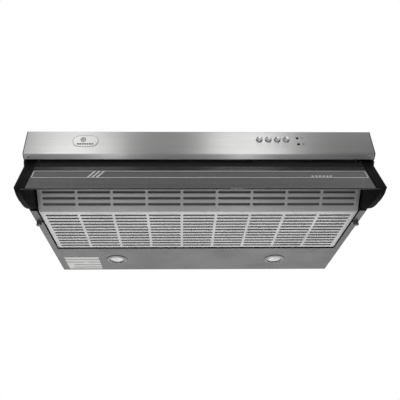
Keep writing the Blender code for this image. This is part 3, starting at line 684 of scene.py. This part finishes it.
def box_of(node):
    """The two corners of a node's box."""
    low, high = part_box(node)
    return np.asarray(low), np.asarray(high)


def centre_of(node):
    low, high = box_of(node)
    return (low + high) / 2


class HOOD_OT_fascia(bpy.types.Operator):
    """Build the brushed steel fascia, its black ends and its two lip screws"""

    bl_idname = "range_hood.fascia"
    bl_label = "Fascia"

    def execute(self, context):
        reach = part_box("front_fascia")[1][0]
        outline = np.concatenate([fascia_outline(0.0), fascia_outline(SHEET)[::-1]])
        shape = slab(outline, [(-reach, 0.0), (reach, 0.0)], along_x)
        fascia = add_piece("steel_fascia", shape, "stainless", replaces=["front_fascia"], crease=30.0)
        holes = [(f"button_{number}", BUTTON_HOLE) for number in range(1, 5)]
        holes += [(f"indicator_{which}", INDICATOR_HOLE) for which in ("upper", "lower")]
        for node, radius in holes:
            x, _, z = centre_of(node)
            pierce(fascia, round_hole(x, z, radius))
        for side, _ in SIDES:
            skin = fascia_outline(0.0)[1:]
            closing = [(SHELL_FRONT, skin[-1][1] + 1.0 * MM), (SHELL_FRONT, 0.0)]
            outer = np.concatenate([skin, closing])
            name = f"fascia_end_{side}"
            low, high = box_of(name)
            shape = slab(outer, soft_levels(low[0], high[0], 0.5 * MM), along_x)
            add_piece(f"end_cap_{side}", shape, "black_plastic", replaces=[name])
            name = f"fascia_screw_{side}"
            add_piece(f"lip_screw_{side}", tilted_screw(centre_of(name)), "steel", replaces=[name])
        return {"FINISHED"}


def tilted_screw(centre):
    """A screw head square to the lip: turned about X by the lip's angle."""
    points, faces = screw_shape((0.0, 0.0, 0.0), 3.2 * MM, 1.9 * MM)
    turn = np.array(Matrix.Rotation(-LIP_ANGLE, 3, "X"))
    base = centre + np.array([0.0, -0.2 * MM, 0.9 * MM])
    return points @ turn.T + base, faces


# --- Badge and controls ---


def flat_ring(outline, width, depths, place):
    """A raised band that follows an outline, from it inwards by a width, between two depths."""
    inner = inset(outline, width)
    front, rear = depths
    loops = []
    for loop, depth in ((outline, front), (inner, front), (inner, rear), (outline, rear)):
        loops.append(place(loop[:, 0], loop[:, 1], np.full(len(loop), depth)))
    return lofted(loops, ring=True)


class HOOD_OT_badge(bpy.types.Operator):
    """Build the plain oval badge with a dark rim, a ring and a row of blocks"""

    bl_idname = "range_hood.badge"
    bl_label = "Badge"

    def execute(self, context):
        low, high = box_of("name_bar")
        size = (high - low)[[0, 2]]
        centre = ((low + high) / 2)[[0, 2]]
        front, rear = low[1] - FRONT, high[1] - FRONT
        outline = rounded_box(centre, size, size[1] / 2 - 0.2 * MM, 14)
        face = front + 0.15 * MM
        levels = [(rear, 0.0), (front + 0.4 * MM, 0.0), (face, 0.25 * MM), (face, 1.4 * MM)]
        plate = slab(outline, levels, along_y)
        add_piece("badge_plate", plate, "stainless", replaces=["name_bar"])
        band = (front, front + 0.3 * MM)
        emblem = centre + np.array([-0.09, 0.13]) * size
        marks = [flat_ring(inset(outline, 0.4 * MM), 0.7 * MM, band, along_y)]
        for radius in (0.2, 0.09):
            mark = arc(emblem, radius * size[1], 0.0, 2 * pi, 28)[:-1]
            marks.append(flat_ring(mark, 0.06 * size[1], band, along_y))
        row, pitch, block = centre + np.array([0.0, -0.27 * size[1]]), 6.2 * MM, (4.6 * MM, 5.0 * MM)
        for k in range(-3, 4):
            bar = rounded_box(row + np.array([k * pitch, 0.0]), block, 0.6 * MM, 3)
            marks.append(slab(bar, [(band[1], 0.0), (band[0], 0.0)], along_y))
        add_piece("badge_marks", join(*marks), "dark_print")
        return {"FINISHED"}


class HOOD_OT_controls(bpy.types.Operator):
    """Build the four push buttons, the two indicator lenses and their printed signs"""

    bl_idname = "range_hood.controls"
    bl_label = "Controls"

    def execute(self, context):
        dish = context.scene.hood_sizes.button_dish
        bodies = ["button_light", "button_low", "button_mid", "button_high"]
        for number, body in enumerate(bodies, 1):
            node = f"button_{number}"
            low, high = box_of(node)
            x, _, z = (low + high) / 2
            radius, front, rear = (high[0] - low[0]) / 2, low[1] - FRONT, high[1] - FRONT
            face = steps(0.0, radius - BUTTON_EDGE, 8)
            hollow = front + dish * (1 - (face / face[-1]) ** 2)
            edge = arc((radius - BUTTON_EDGE, front + BUTTON_EDGE), BUTTON_EDGE, -pi / 2, 0.0, 6)[1:]
            shoulder = [(radius, BUTTON_SHOULDER), (BUTTON_STEM, BUTTON_SHOULDER)]
            stem = [(BUTTON_STEM, rear), (0.0, rear)]
            profile = np.concatenate([np.stack([face, hollow], axis=-1), edge, shoulder, stem])
            shape = turned(profile, (x, FRONT, z), "Y", 48)
            add_piece(f"push_button_{number}", shape, "satin_chrome", body=body,
                      replaces=[node], crease=40.0)
        for which in ("upper", "lower"):
            node = f"indicator_{which}"
            x, _, z = centre_of(node)
            front, rear = INDICATOR_DEPTHS
            dome = arc((0.0, front), INDICATOR_RADIUS, -pi / 2, 0.0, 8) * np.array([1.0, 0.7])
            seat = [(INDICATOR_RADIUS, front), (INDICATOR_SEAT, front), (INDICATOR_SEAT, rear), (0.0, rear)]
            shape = turned(np.concatenate([dome, seat]), (x, FRONT, z), "Y", 32)
            add_piece(f"lens_{which}", shape, "dark_lens", replaces=[node])
        add_piece("control_marks", control_marks(), "dark_print")
        return {"FINISHED"}


def control_marks():
    """Small printed signs beside the indicators: a ring, and three short rays."""
    depths = (-0.12 * MM, -0.02 * MM)
    upper, lower = (centre_of(f"indicator_{which}")[[0, 2]] for which in ("upper", "lower"))
    shapes = []
    ring = arc(upper + np.array([SIGN_OFFSET, 0.0]), 2.8 * MM, 0.0, 2 * pi, 20)[:-1]
    shapes.append(flat_ring(ring, 0.8 * MM, depths, along_y))
    for k in range(3):
        height = lower[1] + (k - 1) * 2.2 * MM
        bar = rounded_box((lower[0] + SIGN_OFFSET, height), (6 * MM, 1.0 * MM), 0.4 * MM, 2)
        shapes.append(slab(bar, [(depths[1], 0.0), (depths[0], 0.0)], along_y))
    return join(*shapes)


# --- Visor ---


def printed_frame(width, n_range):
    """A thin line round a rectangle on the glass."""
    size = (2 * PRINT_HALF_WIDTH, PRINT_S[1] - PRINT_S[0])
    outline = rounded_box((0.0, sum(PRINT_S) / 2), size, 2.0 * MM, 5)
    return flat_ring(outline, width, n_range, visor_place)


def slash(x_low, x_high, width, n_range):
    """A slanted stroke from the bottom of the printed frame to its top."""
    half = width / 2
    top, bottom = PRINT_S
    outline = [(x_low - half, bottom), (x_low + half, bottom), (x_high + half, top), (x_high - half, top)]
    return slab(np.array(outline), [(n_range[0], 0.0), (n_range[1], 0.0)], visor_place)


def round_axis(radius, angle):
    """Depths and heights round the visor's axis, from straight down towards the back."""
    return np.stack([VISOR_AXIS[0] + radius * np.sin(angle), VISOR_AXIS[1] - radius * np.cos(angle)], axis=-1)


def cheek_plate(sign):
    """The sector beside the glass: its outline at stations across the width, drawn in at the two
    edges and in two shallow grooves round the rim."""
    s0, s1 = GLASS_S
    front = GLASS_N[1] + 1.3 * MM
    corners = visor_place(np.zeros(3), np.array([s0, s1, s1]), np.array([front, front, 11.0 * MM]))[:, 1:]
    corners[:, 0] -= FRONT
    sweep = steps(*CHEEK_SWEEP, 60)
    rim = round_axis(CHEEK_RADIUS + CHEEK_RISE * np.maximum(0.0, -sweep), sweep)
    hub = round_axis(14.0 * MM, steps(radians(80.0), radians(190.0), 12))
    outline = np.concatenate([corners, rim, hub])
    inner, outer = CHEEK_X
    groove = [(0.0, 0.0), (0.3, 0.45), (1.1, 0.45), (1.4, 0.0)]
    levels = soft_levels(inner, outer, 1.4 * MM, 4)
    half = len(levels) // 2
    middle = []
    for start in (4.2, 7.9):
        middle += [(inner + (start + run) * MM, amount * MM) for run, amount in groove]
    levels = levels[:half] + middle + levels[half:]
    return slab(outline, [(sign * along, amount) for along, amount in levels], along_x)


def cheek_bar(sign):
    """The bar that laps over the end of the glass: its section, with three grooves along its face,
    carried down the glass and drawn in at both ends."""
    x0, x1 = CHEEK_BAR_X, CHEEK_X[1]
    n0, n1 = GLASS_N[1] + GAP, GLASS_N[1] + 3.4 * MM
    across = [(x0, n0), (x0, n1 - 1.0 * MM), (x0 + 1.0 * MM, n1)]
    for start in (5.0, 10.0, 15.0):
        left = x0 + start * MM
        groove = ((0.0, 0.0), (0.7, 0.9), (2.0, 0.9), (2.7, 0.0))
        across += [(left + run * MM, n1 - drop * MM) for run, drop in groove]
    across += [(x1 - 1.2 * MM, n1), (x1, n1 - 1.2 * MM), (x1, n0)]
    section = np.asarray(across)
    loops = []
    for s, amount in soft_levels(GLASS_S[0], GLASS_S[1], 0.9 * MM):
        moved = inset(section, amount) if amount else section
        loops.append(visor_place(sign * moved[:, 0], np.full(len(moved), s), moved[:, 1]))
    return lofted(loops)


def corners_of(a, b):
    """The corners of a rectangle between two pairs of sides."""
    return np.array([(a[0], b[0]), (a[1], b[0]), (a[1], b[1]), (a[0], b[1])])


class HOOD_OT_visor(bpy.types.Operator):
    """Build the smoked glass visor, its printed lines, its rail and its two cheeks"""

    bl_idname = "range_hood.visor"
    bl_label = "Visor"

    def execute(self, context):
        sizes = context.scene.hood_sizes
        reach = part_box("visor_glass")[1][0]
        bevel = 0.5 * MM
        pane = corners_of(GLASS_S, GLASS_N)
        levels = [(-reach, bevel), (bevel - reach, 0.0), (reach - bevel, 0.0), (reach, bevel)]

        def place(s, n, x):
            return visor_place(x, s, n)

        glass = add_piece("visor_pane", slab(pane, levels, place), "smoked_glass", body="visor",
                          replaces=["visor_glass"], crease=20.0)
        soften(glass, bevel, 2)
        proud = (GLASS_N[1] + 0.02 * MM, GLASS_N[1] + 0.1 * MM)
        higher = (proud[0], proud[1] + 0.04 * MM)
        marks = [printed_frame(sizes.line_width, proud)]
        for low, high in ((-279.0, -263.0), (-268.0, -251.5), (-257.0, -240.0)):
            marks.append(slash(low * MM, high * MM, sizes.slash_width, higher))
        for x in range(278, 332, 9):
            block = rounded_box((x * MM, 65 * MM), (6 * MM, 4 * MM), 0.6 * MM, 2)
            marks.append(slab(block, [(proud[0], 0.0), (proud[1], 0.0)], visor_place))
        add_piece("glass_lines", join(*marks), "glass_print", body="visor")
        bar = corners_of((GLASS_S[0], 6 * MM), (3 * MM, GLASS_N[0] - GAP))
        shape = slab(bar, [(-reach, 0.0), (reach, 0.0)], place)
        rail = add_piece("rail", shape, "black_plastic", body="visor", replaces=["visor_rail"])
        soften(rail, 0.8 * MM, 3)
        for side, sign in SIDES:
            shape = join(cheek_plate(sign), cheek_bar(sign))
            name = f"visor_cheek_{side}"
            add_piece(f"cheek_{side}", shape, "black_plastic", body="visor", replaces=[name])
        return {"FINISHED"}


def soften(item, width, segments):
    """Round the sharp edges of a piece."""
    modifier = item.modifiers.new("soften", "BEVEL")
    modifier.width = width
    modifier.segments = segments
    modifier.limit_method = "ANGLE"
    modifier.angle_limit = radians(40.0)
    settle(item, 15.0)


# --- Grille ---


def sheet_place(x, q, lift, radius):
    """A place on the folded sheet: x across, q along it from its front edge, and lift into the hood.
    The front face and the bottom are flat and an arc of the given radius joins them."""
    run = radius * tan(GRILLE_SLOPE / 2)
    t = q - GRILLE_FRONT_LENGTH
    angle = GRILLE_SLOPE * np.clip((run - t) / (2 * run), 0.0, 1.0)
    depth = GRILLE_BEND + run - radius * np.sin(angle)
    height = -HEIGHT + radius - radius * np.cos(angle)
    front, bottom = np.minimum(t + run, 0.0), np.maximum(t - run, 0.0)
    depth = depth + front * cos(GRILLE_SLOPE) + bottom + lift * np.sin(angle)
    height = height - front * sin(GRILLE_SLOPE) + lift * np.cos(angle)
    return np.stack([x, FRONT + depth, height], axis=-1)


def row_centres():
    count, first, pitch = FRONT_ROWS
    front = GRILLE_FRONT_LENGTH - first - pitch * np.arange(count)[::-1]
    count, first, pitch = BOTTOM_ROWS
    bottom = GRILLE_FRONT_LENGTH + first + pitch * np.arange(count)
    return front, bottom


def slot_outline(half_length, half_width, bend=6, straight=4):
    """A slot's outline, with points along its flat sides and round its ends."""
    edge = half_length - half_width
    flat = steps(edge, -edge, straight)
    top = np.stack([flat, np.full_like(flat, half_width)], axis=-1)
    left = arc((-edge, 0.0), half_width, pi / 2, 1.5 * pi, 2 * bend)[1:-1]
    half = np.concatenate([top, left])
    return np.concatenate([half, -half])


def cell_outline(half_x, half_q, half_length, half_width, bend=6, straight=4):
    """Points on a cell's edge, one for each point of the slot in it: straight across from the slot's
    flat sides, and shared out over the corner and the end from its round ends."""
    edge, corner = half_length - half_width, bend // 2
    out, back = steps(-edge, -half_x, corner)[1:], steps(-half_x, -edge, corner)[1:-1]
    x = np.concatenate([steps(edge, -edge, straight), out, np.full(bend, -half_x), back])
    down = steps(half_q, -half_q, bend)[1:]
    q = np.concatenate([np.full(straight + 1 + corner, half_q), down, np.full(corner - 1, -half_q)])
    half = np.stack([x, q], axis=-1)
    return np.concatenate([half, -half])


def grille_skin(sizes):
    """The outer skin of the grille. Each slot is a set of loops from its cell's edge to its own, whose
    last loops roll into the hood: lift = roll (1 - cos t), distance from the slot = roll (1 - sin t)."""
    half_length, half_width = sizes.slot_length / 2, sizes.slot_width / 2
    roll, radius = sizes.slot_roll, sizes.bend_radius
    front, bottom = row_centres()
    shapes, side_q = [], []
    bay_x = (np.arange(BAYS) - (BAYS - 1) / 2) * BAY_PITCH
    turn = steps(0.0, pi / 2, 4)
    for centres, pitch in ((front, FRONT_ROWS[2]), (bottom, BOTTOM_ROWS[2])):
        for centre in centres:
            low, high = centre - pitch / 2, centre + pitch / 2
            middle, half_q = (low + high) / 2, (high - low) / 2
            cell = cell_outline(BAY_PITCH / 2, half_q, half_length, half_width)
            loops, lifts = [cell + np.array([0.0, middle])], [0.0]
            for angle in turn:
                out = roll * (1 - np.sin(angle))
                loops.append(slot_outline(half_length + out, half_width + out) + np.array([0.0, centre]))
                lifts.append(roll * (1 - np.cos(angle)))
            loops, lifts = np.asarray(loops), np.asarray(lifts)[:, None] * np.ones(len(cell))
            for x in bay_x:
                points = sheet_place(loops[..., 0] + x, loops[..., 1], lifts, radius)
                shapes.append(grid(points, wrap_columns=True))
            at_side = np.abs(cell[:, 0]) > BAY_PITCH / 2 - 1e-6
            side_q.append(np.unique(np.round(cell[:, 1][at_side] + middle, 7)))
            top_x = np.unique(np.round(cell[:, 0][cell[:, 1] > half_q - 1e-6], 7))
    across = np.unique(np.round((bay_x[:, None] + top_x[None, :]).ravel(), 6))
    fold = GRILLE_FRONT_LENGTH + radius * tan(GRILLE_SLOPE / 2) * steps(-1, 1, 8)
    front_q = np.array([0.0, side_q[0][0]])
    bend_q = np.concatenate([[side_q[len(front) - 1][-1]], fold, [side_q[len(front)][0]]])
    rear_q = np.array([side_q[-1][-1], GRILLE_FRONT_LENGTH + GRILLE_REAR - GRILLE_BEND])
    for stations in (front_q, bend_q, rear_q):
        q, x = np.meshgrid(stations, across, indexing="ij")
        shapes.append(grid(sheet_place(x, q, np.zeros_like(x), radius)))
    all_q = np.concatenate(side_q + [front_q[:1], bend_q[1:-1], rear_q[1:]])
    all_q = np.unique(np.round(np.sort(all_q), 6))
    bend_x = GRILLE_HALF_WIDTH - GRILLE_EDGE_BEND
    flank = arc((bend_x, GRILLE_EDGE_BEND), GRILLE_EDGE_BEND, -pi / 2, 0.0, 4)
    flank = np.concatenate([[(across[-1], 0.0)], flank, [(GRILLE_HALF_WIDTH, GRILLE_FLANGE)]])
    for _, sign in SIDES:
        q, x = np.meshgrid(all_q, sign * flank[:, 0], indexing="ij")
        lift = np.ones_like(q) * flank[:, 1]
        shapes.append(grid(sheet_place(x, q, lift, radius)))
    return join(*shapes)


class HOOD_OT_grille(bpy.types.Operator):
    """Build the slotted steel grille"""

    bl_idname = "range_hood.grille"
    bl_label = "Grille"

    def execute(self, context):
        skin = grille_skin(context.scene.hood_sizes)
        item = add_piece("slotted_grille", skin, "silver_paint", body="grille",
                         replaces=["filter_grille"], crease=50.0)
        normals = np.zeros(3 * len(item.data.polygons), np.float32)
        item.data.polygons.foreach_get("normal", normals)
        if normals.reshape(-1, 3)[:, 2].sum() > 0:
            item.data.flip_normals()
        wall = item.modifiers.new("wall", "SOLIDIFY")
        wall.thickness = GRILLE_THICKNESS
        wall.offset = -1.0
        wall.use_even_offset = True
        settle(item, 50.0)
        return {"FINISHED"}


class HOOD_OT_filter_mat(bpy.types.Operator):
    """Build the felt grease mat that lies in the grille"""

    bl_idname = "range_hood.filter_mat"
    bl_label = "Grease mat"

    def execute(self, context):
        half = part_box("filter_mat")[1][0]
        radius = context.scene.hood_sizes.bend_radius
        q_start = MAT_MARGINS[0]
        q_end = GRILLE_FRONT_LENGTH + GRILLE_REAR - GRILLE_BEND - MAT_MARGINS[1]
        q, x = np.meshgrid(steps(q_start, q_end, 60), steps(-half, half, 120), indexing="ij")
        wander = np.sin(x * 37.0 + 2.0 * np.sin(q * 31.0)) * np.cos(q * 53.0 + x * 11.0)
        low = sheet_place(x, q, MAT_LIFT[0] + 0.12 * MM * wander, radius)
        high = sheet_place(x, q, MAT_LIFT[1] + 0.25 * MM * wander, radius)
        shape = join(
            grid(low), grid(high),
            *(grid(np.stack([low[k], high[k]])) for k in (0, -1)),
            *(grid(np.stack([low[:, k], high[:, k]])) for k in (0, -1)),
        )
        mat = add_piece("grease_mat", shape, "filter_felt", body="grille", replaces=["filter_mat"])
        return {"FINISHED"}


class HOOD_OT_latches(bpy.types.Operator):
    """Build the two turn clips and their screws"""

    bl_idname = "range_hood.latches"
    bl_label = "Latches"

    def execute(self, context):
        depth = CLIP_CENTRE[1]
        for side, sign in SIDES:
            low, high = box_of(f"grille_latch_{side}")
            screw_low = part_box(f"latch_screw_{side}")[0][2]
            x = sign * CLIP_CENTRE[0]
            tip = abs(x) - min(abs(low[0]), abs(high[0]))
            hub = arc((0.0, 0.0), CLIP_HUB, -radians(130.0), radians(130.0), 28)
            nose = arc((CLIP_NOSE - tip, 0.0), CLIP_NOSE, radians(110.0), radians(250.0), 8)
            outline = np.concatenate([hub, nose]) * np.array([sign, 1.0]) + np.array([x, depth])
            step = high[2] - CLIP_THICKNESS
            tab = slab(outline, soft_levels(step, high[2], 0.7 * MM), along_z)
            knob = arc((x, depth), CLIP_KNOB, 0.0, 2 * pi, 36)[:-1]
            grip = slab(knob, soft_levels(low[2], step - 0.1 * MM, 0.9 * MM), along_z)
            add_piece(f"turn_clip_{side}", join(tab, grip), "latch_plastic", body=f"latch_{side}",
                      replaces=[f"grille_latch_{side}"])
            face = low[2] - GAP
            screw = screw_shape((x, FRONT + depth, face), CLIP_SCREW, face - screw_low)
            add_piece(f"clip_screw_{side}", screw, "steel", replaces=[f"latch_screw_{side}"])
        return {"FINISHED"}


# --- Lamps and rating plate ---


def bezel_profile():
    """A lamp bezel's section: its wall, its round lip, and the hollow that leads to the lens."""
    (inner, outer), (lip_at, lip_radius) = BEZEL_WALL, BEZEL_LIP
    hollow_at, hollow_radius = BEZEL_HOLLOW
    lip_height = -HEIGHT - 0.3 * MM
    lip = arc((lip_at, lip_height), lip_radius, 0.0, -pi / 2, 6)
    hollow = arc((hollow_at, -HEIGHT - hollow_radius), hollow_radius, -pi / 2, -pi, 5)
    wall = [(outer, BEZEL_TOP - HEIGHT), (outer, lip_height)]
    inside = [(hollow_at - hollow_radius, -HEIGHT - 0.5 * MM), (inner, -HEIGHT + 0.2 * MM)]
    return np.concatenate([wall, lip, hollow, inside, [(inner, BEZEL_TOP - HEIGHT)]])


def lens_profile():
    """A lamp lens's section: a shallow dome and the seat behind it."""
    face, front, rear = (height - HEIGHT for height in LENS_HEIGHTS)
    radius = steps(0.0, LENS_RADIUS, 40)
    dome = np.stack([radius, face + LENS_RISE * (radius / LENS_RADIUS) ** 2.4], axis=-1)
    return np.concatenate([dome, [(LENS_SEAT, front), (LENS_SEAT, rear), (0.0, rear)]])


class HOOD_OT_lamps(bpy.types.Operator):
    """Build the lamp bezels and their ribbed lenses"""

    bl_idname = "range_hood.lamps"
    bl_label = "Lamps"

    def execute(self, context):
        rings, flutes = context.scene.hood_sizes.lens_rings, context.scene.hood_sizes.lens_flutes

        def ribs(r, t):
            """Rings near the middle and flutes near the rim, fading out at both."""
            share = r / LENS_RADIUS
            inside = np.clip((RING_SHARE - share) * 8.0, 0.0, 1.0)
            outside = np.clip((share - RING_SHARE) * 8.0, 0.0, 1.0) * np.clip((0.98 - share) * 12.0, 0.0, 1.0)
            ring = 0.35 * MM * (1 - np.cos(2 * pi * rings * share / RING_SHARE)) / 2 * inside
            flute = 0.45 * MM * (1 - np.cos(flutes * t)) / 2 * outside
            return (ring + flute) * (share < 1.0)

        for side, _ in SIDES:
            name = f"lamp_bezel_{side}"
            centre = centre_of(name) * np.array([1.0, 1.0, 0.0])
            shape = turned(bezel_profile(), centre, "Z", 72)
            add_piece(f"bezel_{side}", shape, "grey_enamel", replaces=[name])
            lens = turned(lens_profile(), centre, "Z", 144, ribs)
            add_piece(f"lens_plate_{side}", lens, "frosted_lens", replaces=[f"lamp_lens_{side}"])
        return {"FINISHED"}


class HOOD_OT_rating_plate(bpy.types.Operator):
    """Build the rating plate with printed rows that say nothing"""

    bl_idname = "range_hood.rating_plate"
    bl_label = "Rating plate"

    def execute(self, context):
        low, high = box_of("rating_plate")
        centre = ((low + high) / 2)[:2] - np.array([0.0, FRONT])
        outline = rounded_box(centre, (high - low)[:2], 3.0 * MM, 6)
        shape = slab(outline, [(high[2], 0.0), (low[2] + 0.1 * MM, 0.0), (low[2], 0.1 * MM)], along_z)
        add_piece("label_plate", shape, "white_label", replaces=["rating_plate"])
        return {"FINISHED"}


# --- Shell and works ---


class HOOD_OT_shell(bpy.types.Operator):
    """Finish the parts that keep their shape: sheet metal, blowers, boxes, bulbs, pins and brackets"""

    bl_idname = "range_hood.shell"
    bl_label = "Shell"

    def execute(self, context):
        for finish, names in KEPT.items():
            dress(*names, finish=finish)
        for finish, names in KEPT_PAIRS.items():
            for side, _ in SIDES:
                dress(*(f"{name}_{side}" for name in names), finish=finish)
        return {"FINISHED"}


class HOOD_OT_outlet(bpy.types.Operator):
    """Build the round duct collar with its bead and seat"""

    bl_idname = "range_hood.outlet"
    bl_label = "Outlet"

    def execute(self, context):
        centre = centre_of("duct_collar") * np.array([1.0, 1.0, 0.0])
        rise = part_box("duct_collar")[1][2]
        bottom, top = COLLAR_FOOT
        below, above = COLLAR_SEAT_HEIGHTS
        wall = (COLLAR_RADIUS - COLLAR_BORE) / 2
        fillet = 3.0 * MM
        root = arc((COLLAR_RADIUS + fillet, top + fillet), fillet, -pi / 2, -pi, 6)
        bead = arc((COLLAR_RADIUS - 0.4 * MM, rise - 9 * MM), 1.6 * MM, -pi / 2, pi / 2, 8)
        rim = arc((COLLAR_RADIUS - wall, rise - wall), wall, 0.0, pi, 8)
        flange = [(COLLAR_FLANGE, bottom), (COLLAR_FLANGE, top)]
        seat = [(COLLAR_BORE, above), (COLLAR_SEAT, above), (COLLAR_SEAT, below), (COLLAR_BORE, below)]
        profile = np.concatenate([flange, root, bead, rim, seat, [(COLLAR_BORE, bottom)]])
        add_piece("collar", turned(profile, centre, "Z", 96), "black_plastic", replaces=["duct_collar"])
        return {"FINISHED"}


# --- Stage ---


def add_light(name, place, aim, size, brightness):
    """A rectangular softbox that faces a point. brightness is what its face shows."""
    data = bpy.data.lights.new(name, "AREA")
    data.shape = "RECTANGLE"
    data.size, data.size_y = size
    data.energy = brightness * pi * size[0] * size[1]
    lamp = bpy.data.objects.new(name, data)
    lamp.visible_camera = False
    way = Vector(aim) - Vector(place)
    lamp.matrix_world = Matrix.Translation(place) @ way.to_track_quat("-Z", "Y").to_matrix().to_4x4()
    bpy.context.scene.collection.objects.link(lamp)


def room(ambient):
    """White behind the object for the camera, and a softer grey for light and reflections."""
    world = bpy.data.worlds.new("room")
    bpy.context.scene.world = world
    world.use_nodes = True
    tree = world.node_tree
    tree.nodes.clear()
    white = (1.0, 1.0, 1.0, 1.0)
    seen = add_node(tree, "ShaderNodeBackground", {"Color": white, "Strength": 1.0}).outputs[0]
    light = add_node(tree, "ShaderNodeBackground", {"Color": white, "Strength": ambient}).outputs[0]
    camera_ray = add_node(tree, "ShaderNodeLightPath").outputs["Is Camera Ray"]
    mix = add_node(tree, "ShaderNodeMixShader", {0: camera_ray, 1: light, 2: seen})
    add_node(tree, "ShaderNodeOutputWorld", {"Surface": mix.outputs[0]})


def add_camera(settings):
    """A camera below the front of the hood that looks up at it."""
    data = bpy.data.cameras.new("camera")
    data.lens = settings.lens_length
    data.sensor_width = SENSOR_WIDTH
    data.shift_x = settings.shift
    camera = bpy.data.objects.new("camera", data)
    up_angle, turn, roll = settings.tilt, settings.turn, settings.roll
    ahead = Vector((sin(turn) * cos(up_angle), cos(turn) * cos(up_angle), sin(up_angle)))
    right = Vector((cos(turn), -sin(turn), 0.0))
    up = right.cross(ahead)
    right, up = cos(roll) * right + sin(roll) * up, cos(roll) * up - sin(roll) * right
    frame_axes = Matrix((right, up, -ahead)).transposed().to_4x4()
    camera.matrix_world = Matrix.Translation(CAMERA_PLACE) @ frame_axes
    bpy.context.scene.collection.objects.link(camera)
    bpy.context.scene.camera = camera


class HOOD_OT_stage(bpy.types.Operator):
    """Set the floor, the soft lights and the camera"""

    bl_idname = "range_hood.stage"
    bl_label = "Stage"

    def execute(self, context):
        settings = context.scene.hood_stage
        context.scene.view_settings.view_transform = "Standard"
        room(settings.ambient)
        reach = steps(-FLOOR_REACH, FLOOR_REACH, 8)
        x, y = np.meshgrid(reach, reach, indexing="ij")
        shape = grid(np.stack([x, y, np.full_like(x, -settings.floor_depth)], axis=-1))
        floor = add_object("floor", shape, clean=False)
        floor.data.materials.append(finish_material("floor"))
        aim = (0.0, FRONT, STRIP_HEIGHT)
        for name, x, width in (("left_strip", -0.84, 0.62), ("right_strip", 0.45, 0.58)):
            add_light(name, (x, STRIP_DEPTH, STRIP_HEIGHT), aim, (width, 3.3), settings.strips)
        for name, x in (("left_foot", -0.45), ("right_foot", 0.31)):
            add_light(name, (x, FOOT_DEPTH, -1.45), (x, FOOT_DEPTH, 0.0), (0.11, 1.0), settings.footlights)
        add_light("overhead", (0.0, -0.55, 1.1), (0.0, -0.29, -0.14), (2.6, 0.6), settings.overhead)
        add_light("underlight", (0.0, 1.5, -1.25), (0.0, 0.05, -0.17), (2.6, 1.0), settings.underlight)
        add_camera(settings)
        return {"FINISHED"}


class HOOD_PT_panel(bpy.types.Panel):
    """Lists the hood's operators and settings"""

    bl_idname = "HOOD_PT_panel"
    bl_label = "Range Hood"
    bl_space_type = "VIEW_3D"
    bl_region_type = "UI"
    bl_category = "Range Hood"

    def draw(self, context):
        for operator in OPERATORS:
            self.layout.operator(operator.bl_idname)
        for group in (context.scene.hood_sizes, context.scene.hood_colours, context.scene.hood_stage):
            for key in group.__annotations__:
                self.layout.prop(group, key)


OPERATORS = (
    HOOD_OT_stage,
    HOOD_OT_fascia,
    HOOD_OT_badge,
    HOOD_OT_controls,
    HOOD_OT_visor,
    HOOD_OT_grille,
    HOOD_OT_filter_mat,
    HOOD_OT_latches,
    HOOD_OT_lamps,
    HOOD_OT_rating_plate,
    HOOD_OT_shell,
    HOOD_OT_outlet,
)
CLASSES = (HoodSizes, HoodColours, HoodStage, *OPERATORS, HOOD_PT_panel)


def register():
    for item in CLASSES:
        bpy.utils.register_class(item)
    bpy.types.Scene.hood_sizes = PointerProperty(type=HoodSizes)
    bpy.types.Scene.hood_colours = PointerProperty(type=HoodColours)
    bpy.types.Scene.hood_stage = PointerProperty(type=HoodStage)


def unregister():
    del bpy.types.Scene.hood_stage
    del bpy.types.Scene.hood_colours
    del bpy.types.Scene.hood_sizes
    for item in reversed(CLASSES):
        bpy.utils.unregister_class(item)


def main():
    register()
    bpy.ops.range_hood.stage()
    bpy.ops.range_hood.fascia()
    bpy.ops.range_hood.badge()
    bpy.ops.range_hood.controls()
    bpy.ops.range_hood.visor()
    bpy.ops.range_hood.grille()
    bpy.ops.range_hood.filter_mat()
    bpy.ops.range_hood.latches()
    bpy.ops.range_hood.lamps()
    bpy.ops.range_hood.rating_plate()
    bpy.ops.range_hood.shell()
    bpy.ops.range_hood.outlet()


if __name__ == "__main__":
    main()
